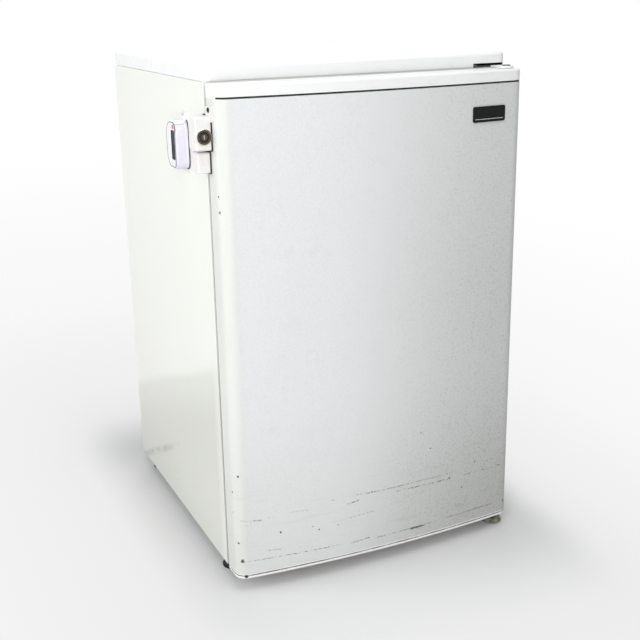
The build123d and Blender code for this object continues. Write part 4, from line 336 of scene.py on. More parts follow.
def moulded(name, base, shadow, polish, texture, grime, coat=0.0, gloss=0.5):
    """Moulded plastic with a fine spark texture, shallow waves and grime."""
    f = Finish(name)
    dull = aged(f, base, tuple(0.965 * c for c in base), shadow, grime)
    normal = f.bump(f.noise(60.0, 1.0), 0.0004, 0.06, under=f.spark(texture))
    return f.shade(polish + dull, normal, Coat_Weight=coat, Specular_IOR_Level=gloss)


def worktop_plastic():
    """White moulded worktop, with painted shadow inside the pocket over the hinge leaf."""
    f = Finish("worktop_white")
    dull = aged(f, (0.905, 0.91, 0.905), (0.88, 0.885, 0.88), (0.62, 0.60, 0.55), 0.14)
    # Painted shadow: the inside of the pocket over the hinge leaf is near black.
    pocket = f.band(f.x, 0.2155, 0.2755, 0.001) * f.band(f.z, 0.8252, 0.8334, 0.0004)
    pocket = pocket * f.band(f.y, -0.2325, -0.1860, 0.0035)
    f.tint(0.96 * pocket, (0.012, 0.012, 0.012))
    return f.shade(0.32 + dull, f.spark(800.0))


def door_cap():
    """White moulded cap: darker brown in patches along the lower groove, browner below it, a chip at its
    left end.
    """
    f = Finish("door_cap")
    white, worn, shadow = (0.905, 0.908, 0.905), (0.88, 0.883, 0.88), (0.55, 0.53, 0.48)
    dull = aged(f, white, worn, shadow, 0.14, 40.0, 0.76)
    # Darker brown in patches along the lower groove, and browner below it.
    groove = f.band(f.z, 0.0296, 0.0316, 0.0004)
    groove_patches = f.ramp(f.noise(30.0, 5.0, 0.7, at=f.stretched((1.0, 1.0, 0.2))), 0.36, 0.60)
    f.tint(groove * (0.35 + 0.55 * groove_patches), (0.27, 0.20, 0.16))
    far = ((f.x + 0.2385) ** 2.0 + (f.z - 0.0295) ** 2.0) ** 0.5
    nick = f.ramp(far + 0.004 * (f.noise(420.0, 3.0, 0.7) - 0.5), 0.0036, 0.0022)
    nick = nick * f.ramp(f.y, -0.270, -0.284)
    f.tint(nick, (0.03, 0.028, 0.025))
    under = f.ramp(f.z, 0.0285, 0.0245)
    f.tint(0.35 * under, (0.50, 0.46, 0.40))
    normal = f.bump(1.0 - nick, 0.0006, 0.7, under=f.spark(800.0))
    return f.shade(0.34 + dull, normal)


def case_with_painted_shade():
    """Monitor case: white back part, and a front part tinted lilac as painted shade; handled and slightly
    grubby.
    """
    f = Finish("monitor_case")
    cloud = f.noise(30.0, 4.0, 0.6)
    dirt = f.patches(85.0, 0.52, 0.74)
    # Painted shade: the front part of the white case is tinted lilac.
    painted_front_shade = f.ramp(f.y, -0.1455, -0.1475)
    f.tint(painted_front_shade, (0.735, 0.705, 0.865), (0.84, 0.845, 0.855))
    f.tint(0.20 * dirt, (0.50, 0.49, 0.54))
    seam = f.band(f.y, -0.1470, -0.1460, 0.0003)
    f.tint(0.6 * seam, (0.30, 0.29, 0.36))
    normal = f.bump(1.0 - seam, 0.0004, 0.6, under=f.spark(900.0))
    return f.shade(0.34 + 0.12 * cloud + 0.12 * dirt, normal)


def zinc_sheet():
    """Galvanised steel: spangle of crystals, with white bloom."""
    f = Finish("zinc_sheet")
    spangle = f.node("ShaderNodeSeparateColor", {0: f.cells(95.0, out="Color")})
    bloom = f.patches(16.0, 0.52, 0.75)
    f.tint(spangle, (0.66, 0.67, 0.68), (0.50, 0.51, 0.53))
    f.tint(0.5 * bloom, (0.70, 0.70, 0.69))
    normal = f.bump(f.noise(140.0, 3.0), 0.0002, 0.25)
    return f.shade(0.28 + 0.16 * spangle + 0.25 * bloom, normal, Metallic=1.0 - 0.5 * bloom)


def plated_steel(name, base, polish):
    """Plated steel with brushing and dull stains."""
    f = Finish(name)
    brush = f.noise(160.0, 3.0, 0.6, at=f.stretched((1.0, 6.0, 1.0)))
    stain = f.patches(90.0, 0.55, 0.75, 4.0)
    f.tint(stain, tuple(0.55 * c for c in base), base)
    normal = f.bump(brush, 0.00008, 0.4)
    return f.shade(polish + 0.2 * brush + 0.2 * stain, normal, Metallic=1.0)


def foot_pad():
    """Grey-green mottled pad on a blackened threaded stem."""
    f = Finish("hinge_foot_grey")
    mottle = f.patches(120.0, 0.44, 0.62, rough=0.75)
    stem = f.ramp(f.z, 0.0088, 0.0096)
    f.tint(mottle, (0.11, 0.11, 0.085), (0.33, 0.34, 0.27))
    f.tint(stem, (0.012, 0.012, 0.012))
    thread = (f.z * (math.tau / 0.00125)).sine()
    normal = f.bump(thread * stem, 0.0004, 0.5)
    normal = f.bump(f.noise(600.0, 2.0, 0.6), 0.00015, 0.5, under=normal)
    return f.shade(0.5 + 0.15 * mottle, normal, Specular_IOR_Level=0.3)


def black_paint(name, dust):
    """Black enamel on steel, dusty on top."""
    f = Finish(name)
    lint = f.noise(55.0, 6.0, 0.75)
    settled = f.upward() * f.ramp(lint, 0.30, 0.68)
    film = f.ramp(f.noise(14.0, 4.0), 0.45, 0.8)
    f.tint(0.25 * film, (0.10, 0.095, 0.085), (0.018, 0.018, 0.020))
    f.tint(dust * settled, (0.33, 0.31, 0.28))
    normal = f.bump(f.noise(300.0, 2.0), 0.00015, 0.35)
    return f.shade(0.30 + 0.25 * film + 0.4 * dust * settled, normal)


def copper_tube():
    """Drawn copper with brown tarnish."""
    f = Finish("copper_tube")
    tarnish = f.patches(48.0, 0.40, 0.72)
    f.tint(tarnish, (0.36, 0.19, 0.12), (0.80, 0.42, 0.26))
    normal = f.bump(f.noise(350.0, 2.0), 0.0001, 0.3)
    return f.shade(0.24 + 0.3 * tarnish, normal, Metallic=1.0 - 0.25 * tarnish)


def clear_part(name, colour, polish, ribs=0.0):
    """Clear glass or plastic with a faint film, ribbed where it scatters a lamp."""
    f = Finish(name)
    film = f.patches(26.0, 0.45, 0.8)
    normal = f.bump(f.noise(70.0, 2.0), 0.0004, 0.12)
    if ribs:
        normal = f.bump((f.y * ribs).sine(), 0.0008, 0.6, under=normal)
    f.colour = colour
    return f.shade(polish + 0.10 * film, normal, Transmission_Weight=1.0, IOR=1.45)


def rolled_aluminium():
    """Roll-bonded aluminium with frost gathered in patches."""
    f = Finish("rolled_aluminium")
    frost = f.patches(18.0, 0.46, 0.70, 6.0, 0.72)
    rolled = f.noise(120.0, 3.0, 0.6, at=f.stretched((14.0, 1.0, 1.0)))
    f.tint(frost, (0.86, 0.88, 0.90), (0.62, 0.63, 0.65))
    normal = f.bump(f.noise(700.0, 4.0, 0.7) * frost, 0.0006, 0.6)
    return f.shade(0.30 + 0.15 * rolled + 0.35 * frost, normal, Metallic=1.0 - 0.8 * frost)


def blown_foam():
    """Cream foam with open cells."""
    f = Finish("blown_foam")
    f.tint(f.noise(12.0), (0.62, 0.50, 0.28), (0.78, 0.68, 0.42))
    return f.shade(0.9, f.bump(f.cells(380.0), 0.0012, 0.6))


def soft_rubber(name, base, dirty):
    """Rubber or soft vinyl, matte, with dirt in it."""
    f = Finish(name)
    dirt = f.patches(30.0, 0.48, 0.75)
    f.tint(0.5 * dirt, dirty, base)
    normal = f.bump(f.noise(500.0, 2.0), 0.0002, 0.4)
    return f.shade(0.62, normal, Specular_IOR_Level=0.2)


def cast_lock():
    """Cream enamel on a zinc casting, rubbed grey along its edges."""
    f = Finish("cast_lock")
    worn = f.edge_wear(0.0009, 0.06, 0.35) * f.patches(120.0, 0.48, 0.66, 4.0)
    dirt = f.patches(70.0, 0.50, 0.72)
    f.tint(0.22 * dirt, (0.56, 0.53, 0.49), (0.815, 0.795, 0.775))
    f.tint(0.35 * worn, (0.45, 0.44, 0.42))
    normal = f.bump(f.noise(240.0, 2.0), 0.0003, 0.35)
    return f.shade(0.30 + 0.2 * dirt, normal, Metallic=0.3 * worn)


def bright_ring():
    """Chromed brass bezel, rubbed through to the brass in patches and low down."""
    f = Finish("bright_ring")
    rubbed = f.patches(130.0, 0.50, 0.72, 4.0).most(0.7 * f.ramp(f.z, 0.750, 0.741))
    f.tint(0.8 * rubbed, (0.50, 0.42, 0.20), (0.80, 0.79, 0.78))
    return f.shade(0.16 + 0.2 * rubbed, Metallic=1.0)


KEY_X, KEY_Z = -0.265, 0.7503


def dark_plug():
    """Browned brass key face, brighter at the core and on a ring near its rim."""
    f = Finish("dark_plug")
    rub = f.patches(260.0, 0.56, 0.72, 4.0, 0.75)
    far = ((f.x - KEY_X) ** 2.0 + (f.z - KEY_Z) ** 2.0) ** 0.5
    core = f.ramp(far, 0.0052, 0.0040)
    rim = f.band(far, 0.0084, 0.0096, 0.0006)
    f.tint(rub, (0.13, 0.11, 0.06), (0.022, 0.020, 0.016))
    f.tint(0.30 * core, (0.24, 0.21, 0.15))
    f.tint(0.30 * rim, (0.30, 0.22, 0.08))
    normal = f.bump(f.noise(600.0, 2.0), 0.0002, 0.5)
    return f.shade(0.42 + 0.1 * rub, normal, Metallic=0.25, Specular_IOR_Level=0.25)


def lit_bulb():
    """Opal bulb glass."""
    f = Finish("lit_bulb")
    cloud = f.noise(60.0)
    f.tint(cloud, (0.85, 0.82, 0.74), (0.93, 0.91, 0.85))
    return f.shade(0.22 + 0.1 * cloud)


# Base and grime colours, roughness, texture scale, share of grime, then coat and gloss where they differ
MOULDED = {
    "liner_white": ((0.85, 0.855, 0.85), (0.66, 0.645, 0.60), 0.22, 700.0, 0.06, 0.2),
    "foot_plastic": ((0.016, 0.016, 0.016), (0.08, 0.075, 0.065), 0.5, 600.0, 0.4, 0.0, 0.25),
    "tray_grey": ((0.42, 0.43, 0.44), (0.62, 0.58, 0.50), 0.45, 500.0, 0.5),
    "housing_white": ((0.83, 0.84, 0.84), (0.62, 0.60, 0.55), 0.36, 1000.0, 0.12),
    "knob_grey": ((0.50, 0.52, 0.54), (0.32, 0.31, 0.30), 0.34, 900.0, 0.3),
    "trim_white": ((0.84, 0.85, 0.85), (0.60, 0.58, 0.52), 0.28, 900.0, 0.15),
    "bush_nylon": ((0.82, 0.81, 0.74), (0.50, 0.47, 0.40), 0.42, 700.0, 0.3),
    "badge_black": ((0.008, 0.008, 0.009), (0.03, 0.03, 0.03), 0.5, 700.0, 0.3, 0.0, 0.15),
    "monitor_back": ((0.82, 0.825, 0.84), (0.52, 0.52, 0.54), 0.40, 800.0, 0.25),
    "window_dark": ((0.010, 0.010, 0.014), (0.03, 0.03, 0.04), 0.25, 500.0, 0.2, 0.0, 0.2),
    "lamp_red": ((0.62, 0.012, 0.010), (0.35, 0.02, 0.02), 0.16, 500.0, 0.2, 0.5),
}
FINISHES = {
    "side_enamel": side_enamel(),
    "door_enamel": door_enamel(),
    "zinc_steel": zinc_sheet(),
    "foam": blown_foam(),
    "worktop_white": worktop_plastic(),
    "hinge_steel": plated_steel("hinge_steel", (0.20, 0.20, 0.195), 0.38),
    "screw_steel": plated_steel("screw_steel", (0.50, 0.495, 0.47), 0.24),
    "bolt_steel": plated_steel("bolt_steel", (0.56, 0.56, 0.56), 0.3),
    "hinge_foot_grey": foot_pad(),
    "compressor_black": black_paint("compressor_black", 0.7),
    "condenser_black": black_paint("condenser_black", 0.6),
    "rubber_black": soft_rubber("rubber_black", (0.028, 0.028, 0.028), (0.14, 0.13, 0.115)),
    "copper": copper_tube(),
    "evaporator_alu": rolled_aluminium(),
    "lens_clear": clear_part("lens_clear", (0.96, 0.97, 0.98), 0.20, 2400.0),
    "bulb_glass": lit_bulb(),
    "shelf_glass": clear_part("shelf_glass", (0.90, 0.965, 0.945), 0.06),
    "crisper_clear": clear_part("crisper_clear", (0.92, 0.955, 0.97), 0.10),
    "bin_clear": clear_part("bin_clear", (0.93, 0.955, 0.965), 0.09),
    "cap_white": door_cap(),
    # Painted shade: the gasket's grey is made dark, to stand in for the shade in the gap round the door.
    "gasket_white": soft_rubber("gasket_white", (0.40, 0.395, 0.37), (0.17, 0.155, 0.13)),
    "lock_white": cast_lock(),
    "lock_chrome": bright_ring(),
    "lock_dark": dark_plug(),
    "monitor_case": case_with_painted_shade(),
}
FINISHES.update({slot: moulded(slot, *row) for slot, row in MOULDED.items()})
for row in frame["record"]["subparts"]:
    shown = cad[row["node"]]
    shown.data.materials.clear()
    shown.data.materials.append(FINISHES[row["material_slot"]])
# The leaf is painted white like the worktop over it, and takes the worktop's painted shadow inside the
# pocket
cad["top_hinge_leaf"].data.materials[0] = FINISHES["worktop_white"]

ORIGIN = (0.0, 0.0, 0.0)


class Jig(Graph):
    """A Geometry Nodes tree with named inputs that shapes a blank mesh."""

    def __init__(self, name, **sizes):
        self.tree = bpy.data.node_groups.new(name, "GeometryNodeTree")
        sockets = self.tree.interface
        sockets.new_socket("Mesh", in_out="OUTPUT", socket_type="NodeSocketGeometry")
        sockets.new_socket("Blank", in_out="INPUT", socket_type="NodeSocketGeometry")
        for label, kind in sizes.items():
            sockets.new_socket(label, in_out="INPUT", socket_type="NodeSocket" + kind)
        sockets.new_socket("Finish", in_out="INPUT", socket_type="NodeSocketMaterial")
        self.entry = self.tree.nodes.new("NodeGroupInput")

    def __getitem__(self, label):
        return Value(self, self.entry.outputs[label])

    def line(self, count, step, start=ORIGIN):
        sockets = {"Count": count, "Start Location": start, "Offset": step}
        return self.node("GeometryNodeMeshLine", sockets, mode="OFFSET")

    def copies(self, points, shape, **sockets):
        return self.node("GeometryNodeInstanceOnPoints", {"Points": points, "Instance": shape, **sockets})

    def moved(self, shape, **sockets):
        return self.node("GeometryNodeTransform", {"Geometry": shape, **sockets})

    def close(self, shape):
        shape = self.node("GeometryNodeRealizeInstances", {"Geometry": shape})
        shape = self.node("GeometryNodeSetMaterial", {"Geometry": shape, "Material": self["Finish"]})
        self.node("NodeGroupOutput", {"Mesh": shape})
        return self


def rows_jig():
    """Copies of the blank in straight rows."""
    j = Jig("rows", Start="Vector", Count="Int", Step="Vector", Rows="Int", Row_Step="Vector")
    one = j.copies(j.line(j["Count"], j["Step"], j["Start"]), j["Blank"])
    return j.close(j.copies(j.line(j["Rows"], j["Row_Step"]), one))


def ring_jig():
    """Copies of the blank round an axis, then turned and set in place."""
    j = Jig("ring", Count="Int", Radius="Float", First="Float", Step="Float", Turn="Vector", Place="Vector")
    angle = j["First"] + j.node("GeometryNodeInputIndex") * j["Step"]
    where = j.vector(angle.cosine() * j["Radius"], angle.sine() * j["Radius"])
    dots = j.node("GeometryNodePoints", {"Count": j["Count"], "Position": where})
    ring = j.copies(dots, j["Blank"], Rotation=j.vector(z=angle))
    return j.close(j.moved(ring, Translation=j["Place"], Rotation=j["Turn"]))


def sweep_jig():
    """A section carried along the blank's edges."""
    j = Jig("sweep", Section="Object")
    path = j.node("GeometryNodeMeshToCurve", {"Mesh": j["Blank"]})
    shape = j.node("GeometryNodeObjectInfo", {"Object": j["Section"]}, out="Geometry")
    section = j.node("GeometryNodeMeshToCurve", {"Mesh": shape})
    sockets = {"Curve": path, "Profile Curve": section, "Fill Caps": True}
    return j.close(j.node("GeometryNodeCurveToMesh", sockets))


def screw_jig():
    """Domed screw heads with a cross recess, one on each point of the blank along its facing.

    An odd count of rings keeps the ball's points off the plane that cuts it, and the second bar
    is a little taller, so that no two cutting faces lie in one plane.
    """
    j = Jig("screws", Radius="Float", Height="Float", Slot="Float")
    radius, height = j["Radius"], j["Height"]
    ball = j.node("GeometryNodeMeshUVSphere", {"Segments": 20, "Rings": 11, "Radius": 1.0})
    dome = j.moved(ball, Scale=j.vector(radius, radius, height))
    under = j.node("GeometryNodeMeshCube", {"Size": j.vector(4.0 * radius, 4.0 * radius, 4.0 * height)})
    under = j.moved(under, Translation=j.vector(z=-2.0 * height))
    bar = j.node("GeometryNodeMeshCube", {"Size": j.vector(1.25 * radius, j["Slot"], 1.3 * height)})
    bar = j.moved(bar, Translation=j.vector(z=height))
    cross = j.moved(bar, Rotation=(0.0, 0.0, math.pi / 2), Scale=(1.0, 1.0, 1.06))
    parts = {0: dome, 1: [under, bar, cross]}
    head = j.node("GeometryNodeMeshBoolean", parts, operation="DIFFERENCE", solver="MANIFOLD")
    facing = j.node("GeometryNodeInputNamedAttribute", {"Name": "facing"}, data_type="FLOAT_VECTOR")
    turn = j.node("FunctionNodeAlignRotationToVector", {"Vector": facing}, axis="Z")
    return j.close(j.copies(j["Blank"], head, Rotation=turn))


ROWS, RING, SWEEP, SCREWS = rows_jig(), ring_jig(), sweep_jig(), screw_jig()


def shown_object(name, data):
    """New object at the origin of the scene."""
    made = bpy.data.objects.new(name, data)
    bpy.context.scene.collection.objects.link(made)
    return made


def plain_mesh(holder):
    """Mesh of an object as its modifier or its text leaves it."""
    seen = holder.evaluated_get(bpy.context.evaluated_depsgraph_get())
    return bpy.data.meshes.new_from_object(seen)


def closed_mesh(name, shape):
    """Mesh from a finished bmesh, which is freed."""
    mesh = bpy.data.meshes.new(name)
    shape.to_mesh(mesh)
    shape.free()
    return mesh


def span(node):
    """Low and high corner of a CAD node's box."""
    low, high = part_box(node)
    return Vector(low), Vector(high)


def settle(piece, body, crease=38.0):
    """Round off the shading of a finished piece and let it move with its body."""
    piece.data.shade_smooth()
    piece.data.set_sharp_from_angle(angle=math.radians(crease))
    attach(piece, body)
    return piece


def press(name, jig, blank, body, slot, **sizes):
    """Run a jig on a blank and keep the plain mesh as a piece of a body."""
    piece = shown_object(name, blank)
    step = piece.modifiers.new("jig", "NODES")
    step.node_group = jig.tree
    sizes["Finish"] = FINISHES[slot]
    for socket in jig.tree.interface.items_tree:
        if socket.in_out == "INPUT" and socket.name in sizes:
            step[socket.identifier] = sizes[socket.name]
    shaped = plain_mesh(piece)
    piece.modifiers.clear()
    piece.data = shaped
    return settle(piece, body)


def path_blank(points, closed=True):
    """Points joined in a row, and back to the first if closed."""
    mesh = bpy.data.meshes.new("path")
    edges = [(i, i + 1) for i in range(len(points) - 1)]
    if closed:
        edges.append((len(points) - 1, 0))
    mesh.from_pydata(points, edges, [])
    return mesh


def turned_blank(profile, steps, squash=1.0):
    """Closed shape turned about Z from radius and height pairs that start and end on the axis."""
    shape = bmesh.new()
    chain = [shape.verts.new((r, 0.0, z)) for r, z in profile]
    for first, second in zip(chain, chain[1:]):
        shape.edges.new((first, second))
    turned = shape.verts[:] + shape.edges[:]
    turn = {"axis": (0, 0, 1), "cent": ORIGIN, "angle": math.tau}
    bmesh.ops.spin(shape, geom=turned, steps=steps, use_merge=True, **turn)
    bmesh.ops.remove_doubles(shape, verts=shape.verts[:], dist=1e-6)
    bmesh.ops.scale(shape, vec=(1.0, squash, 1.0), verts=shape.verts[:])
    bmesh.ops.recalc_face_normals(shape, faces=shape.faces[:])
    return closed_mesh("turned", shape)


def bar_blank(size, centre=ORIGIN, ease=0.3):
    """Bar with eased edges, sized along x, y and z."""
    shape = bmesh.new()
    bmesh.ops.create_cube(shape, size=1.0)
    bmesh.ops.scale(shape, vec=size, verts=shape.verts[:])
    offset = ease * min(size)
    bmesh.ops.bevel(shape, geom=shape.edges[:], offset=offset, segments=2, profile=0.5, affect="EDGES")
    bmesh.ops.translate(shape, vec=centre, verts=shape.verts[:])
    return closed_mesh("bar", shape)


def bars(name, size, body, slot, start, count=1, step=ORIGIN, ease=0.3):
    """One row of eased bars, or a single one."""
    blank = bar_blank(size, ease=ease)
    press(name, ROWS, blank, body, slot, Start=start, Count=count, Step=step, Rows=1)


def screw_heads(name, places, facings, body, slot, radius, height, recess):
    """Screw heads, each with the direction that it faces."""
    blank = bpy.data.meshes.new("points")
    blank.from_pydata(places, [], [])
    facing = blank.attributes.new("facing", "FLOAT_VECTOR", "POINT")
    for spot, direction in zip(facing.data, facings):
        spot.vector = direction
    return press(name, SCREWS, blank, body, slot, Radius=radius, Height=height, Slot=recess)


def section(points):
    """Helper object that holds a closed section in its own x and y."""
    return bpy.data.objects.new("section", path_blank([(x, y, 0.0) for x, y in points]))


def bar_section(half_x, half_y):
    return section([(-half_x, -half_y), (half_x, -half_y), (half_x, half_y), (-half_x, half_y)])


def sweep(name, path, shape, body, slot):
    """Carry a section along a path and drop the helper."""
    piece = press(name, SWEEP, path, body, slot, Section=shape)
    bpy.data.objects.remove(shape)
    return piece


def oval(x, y, half_x, half_y, steps):
    """Pairs of coordinates round an oval."""
    turns = [math.tau * i / steps for i in range(steps)]
    return [(x + half_x * math.cos(t), y + half_y * math.sin(t)) for t in turns]


def rod(name, points, radius, body, slot, closed=True, sides=8):
    """Round rod along points, or a ring of it."""
    shape = section(oval(0.0, 0.0, radius, radius, sides))
    sweep(name, path_blank(points, closed), shape, body, slot)


def rounded_loop(low, high, inset, radius, place, low_radius=None):
    """Closed loop of points inside a rectangle; place turns its two coordinates into a point.

    The corners at the low end of the first coordinate can have a radius of their own.
    """
    steps = 6
    near = low_radius or radius
    left, right = low[0] + inset, high[0] - inset
    bottom, top = low[1] + inset, high[1] - inset
    corners = (
        (right - radius, top - radius, radius, 0.0),
        (left + near, top - near, near, 0.5),
        (left + near, bottom + near, near, 1.0),
        (right - radius, bottom + radius, radius, 1.5),
    )
    loop = []
    for u, v, size, start in corners:
        for i in range(steps + 1):
            turn = math.pi * (start + 0.5 * i / steps)
            loop.append(place(u + size * math.cos(turn), v + size * math.sin(turn)))
    return loop


BOW_DEPTH = 0.0155
door_low, door_high = span("door_panel")
door_mid = (door_low.x + door_high.x) / 2
door_half = (door_high.x - door_low.x) / 2
BOW = (door_half**2 + BOW_DEPTH**2) / (2 * BOW_DEPTH)
bow_centre = door_low.y + BOW


def bow(x, inset=0.0):
    """Depth of the door's bowed face at x."""
    return bow_centre - math.sqrt((BOW - inset) ** 2 - (x - door_mid) ** 2)


def door_front(z, inset, tail):
    """Points across the door's front at one height, round both corners and back along the sides."""
    corner_steps, front_steps = 8, 40
    reach = door_half - CORNER
    corner_y = bow_centre - math.sqrt((BOW - CORNER) ** 2 - reach**2)
    slope = math.atan2(corner_y - bow_centre, reach)
    radius = CORNER - inset
    right = [(door_mid + reach + radius, corner_y + tail)]
    for i in range(corner_steps + 1):
        turn = slope * i / corner_steps
        right.append((door_mid + reach + radius * math.cos(turn), corner_y + radius * math.sin(turn)))
    left = [(2 * door_mid - x, y) for x, y in reversed(right)]
    start, end = right[-1][0], left[0][0]
    middle = [start + (end - start) * i / front_steps for i in range(1, front_steps)]
    return [(x, y, z) for x, y in right + [(x, bow(x, inset)) for x in middle] + left]


# Painted shadow: a black strip in the groove under the top cap stands in for the joint's shadow.
SHADOW_STRIP_RISE = 0.0015
SHADOW_STRIP_INSET = 0.0021
SHADOW_STRIP_TAIL = 0.009
cap_low, _ = span("door_top_cap")
shadow_strip_path = path_blank(door_front(cap_low.z + SHADOW_STRIP_RISE, SHADOW_STRIP_INSET, SHADOW_STRIP_TAIL), closed=False)
sweep("cap_joint_seal", shadow_strip_path, bar_section(0.0012, 0.0010), "door", "rubber_black")

GASKET_WIDTH = 0.017
GASKET_CORNER = 0.0092
gasket_low, gasket_high = span("door_gasket")
lip = GASKET_WIDTH / 2
deep = gasket_high.y - gasket_low.y
# Depth from the door and half width, fold by fold
folds = [
    (0.0, lip), (0.0009, lip), (0.0013, 0.0056), (0.0019, 0.0033), (0.0027, 0.0052), (0.0034, 0.0052),
    (0.0042, 0.0034), (0.0048, 0.0055), (0.0053, 0.0072), (0.0062, 0.0077), (0.0069, 0.0072), (deep, 0.0058),
]
bellows = [(y - deep / 2, -u) for y, u in folds] + [(y - deep / 2, u) for y, u in reversed(folds)]
gasket_y = gasket_low.y + deep / 2
gasket_loop = rounded_loop(
    gasket_low.xz, gasket_high.xz, lip, GASKET_CORNER, lambda u, v: (u, gasket_y, v)
)
gasket = sweep("door_bellows_gasket", path_blank(gasket_loop), section(bellows), "door", "gasket_white")
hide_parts("door_gasket")

FLAP_INSET = 0.0020
FLAP_DEPTH = 0.0058
FLAP_CORNER = 0.002
FLAP_HALF = 0.0005
FLAP_SHORT = 0.045
FLAP_ABOVE, FLAP_BELOW = 0.018, 0.006
flap_y = gasket_low.y + FLAP_DEPTH / 2
flap_left, flap_right = door_low.x + FLAP_INSET, door_high.x - FLAP_SHORT
flap_top, flap_bottom = door_high.z + FLAP_ABOVE, door_low.z - FLAP_BELOW
flap = [
    (flap_right, flap_y, flap_top),
    (flap_left + FLAP_CORNER, flap_y, flap_top),
    (flap_left, flap_y, flap_top - FLAP_CORNER),
    (flap_left, flap_y, flap_bottom + FLAP_CORNER),
    (flap_left + FLAP_CORNER, flap_y, flap_bottom),
    (flap_right, flap_y, flap_bottom),
]
flap_section = bar_section(FLAP_DEPTH / 2, FLAP_HALF)
sweep("door_gasket_flap", path_blank(flap, closed=False), flap_section, "door", "rubber_black")

WIRE = 0.0015
WIRE_PITCH = 0.0060
TUBE_PITCH = 0.046
TUBE_OVERHANG = 0.014
TUBE_RUNS = 11
WELD_LONG, WELD_WIDE, WELD_IN = 0.0016, 0.0011, 0.0013
wire_low, wire_high = span("condenser_wires")
wire_long = wire_high.z - wire_low.z
wires_across = round((wire_high.x - wire_low.x - WIRE) / WIRE_PITCH) + 1
wire = turned_blank([(0, 0), (WIRE / 2, 0), (WIRE / 2, wire_long), (0, wire_long)], 6)
wires = press(
    "condenser_wire_rows", ROWS, wire, "cabinet", "condenser_black",
    Start=(wire_low.x + WIRE / 2, wire_low.y + WIRE / 2, wire_low.z),
    Count=wires_across, Step=(WIRE_PITCH, 0.0, 0.0), Rows=2,
    Row_Step=(0.0, wire_high.y - wire_low.y - WIRE, 0.0),
)
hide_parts("condenser_wires")
weld = turned_blank([(0, -WELD_LONG), (WELD_WIDE, 0.0), (0, WELD_LONG)], 6)
press(
    "condenser_welds_rear", ROWS, weld, "cabinet", "condenser_black",
    Start=(wire_low.x + WIRE / 2, wire_high.y - WELD_IN, wire_low.z + TUBE_OVERHANG),
    Count=wires_across, Step=(WIRE_PITCH, 0.0, 0.0), Rows=TUBE_RUNS, Row_Step=(0.0, 0.0, TUBE_PITCH),
)

EDGE_IN = 0.011
panel_low, panel_high = span("rear_panel")
rear_y = panel_high.y
rear_spots = [
    (x, rear_y, panel_low.z + EDGE_IN + (panel_high.z - panel_low.z - 2 * EDGE_IN) * i / 4)
    for i in range(5)
    for x in (panel_low.x + EDGE_IN, panel_high.x - EDGE_IN)
]
for share in (0.33, 0.67):
    rear_spots.append((panel_low.x + (panel_high.x - panel_low.x) * share, rear_y, panel_high.z - EDGE_IN))
top_low, top_high = span("worktop")
for offset in (-0.19, 0.19):
    rear_spots.append((door_mid + offset, top_high.y - 0.0002, (top_low.z + top_high.z) / 2 - 0.002))
rearward = [(0.0, 1.0, 0.0)] * len(rear_spots)
screw_heads("rear_panel_screws", rear_spots, rearward, "cabinet", "screw_steel", 0.0042, 0.0022, 0.0010)
BEAD_LOW = 0.36
BEAD_LONG = 0.36
BEAD_PITCH = 0.07
bead_end = [(0, 0), (0.0016, 0.0012), (0.0042, 0.006), (0.0050, 0.014)]
bead = turned_blank(bead_end + [(r, BEAD_LONG - z) for r, z in reversed(bead_end)], 12, squash=0.36)
press(
    "rear_panel_beads", ROWS, bead, "cabinet", "zinc_steel",
    Start=(door_mid - 2 * BEAD_PITCH, rear_y, BEAD_LOW), Count=5, Step=(BEAD_PITCH, 0.0, 0.0), Rows=1,
)

LEAF_SPOTS = ((0.22475, -0.224775), (0.22475, -0.196775), (0.26475, -0.196775))
BRACKET_SPOTS = ((0.22475, -0.214775), (0.26475, -0.214775), (0.24475, -0.192775))
BRACKET_THICK = 0.003
leaf_top = span("top_hinge_leaf")[1].z
bracket_under = span("bottom_hinge_bracket")[1].z - BRACKET_THICK
hinge_spots = [(x, y, leaf_top) for x, y in LEAF_SPOTS] + [(x, y, bracket_under) for x, y in BRACKET_SPOTS]
hinge_facings = [(0.0, 0.0, 1.0)] * len(LEAF_SPOTS) + [(0.0, 0.0, -1.0)] * len(BRACKET_SPOTS)
hinge_heads = screw_heads(
    "hinge_screw_heads", hinge_spots, hinge_facings, "cabinet", "screw_steel", 0.0045, 0.0024, 0.0011
)
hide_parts("hinge_screws")
screw_low, screw_high = span("lock_screw")
screw_mid = (screw_low + screw_high) / 2
lock_spot = (screw_low.x + 0.0026, screw_mid.y, screw_mid.z)
lock_head = screw_heads(
    "lock_screw_head", [lock_spot], [(-1.0, 0.0, 0.0)], "door", "lock_dark", 0.0040, 0.0024, 0.0012
)
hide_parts("lock_screw")

BADGE_RIM_IN = 0.0016
BADGE_PROUD = 0.0016
LINE_IN, LINE_RISE, LINE_STEPS = 0.004, 0.0048, 8
badge_low, badge_high = span("badge_plate")
badge_loop = rounded_loop(
    badge_low.xz, badge_high.xz, BADGE_RIM_IN, 0.0022, lambda u, v: (u, bow(u) - BADGE_PROUD, v)
)
rod("badge_rim", badge_loop, 0.0007, "door", "badge_black")
line_long = badge_high.x - badge_low.x - 2 * LINE_IN
line_places = [badge_low.x + LINE_IN + line_long * i / LINE_STEPS for i in range(LINE_STEPS + 1)]
badge_line = [(x, bow(x) - BADGE_PROUD, badge_low.z + LINE_RISE) for x in line_places]
rod("badge_underline", badge_line, 0.0006, "door", "knob_grey", closed=False)

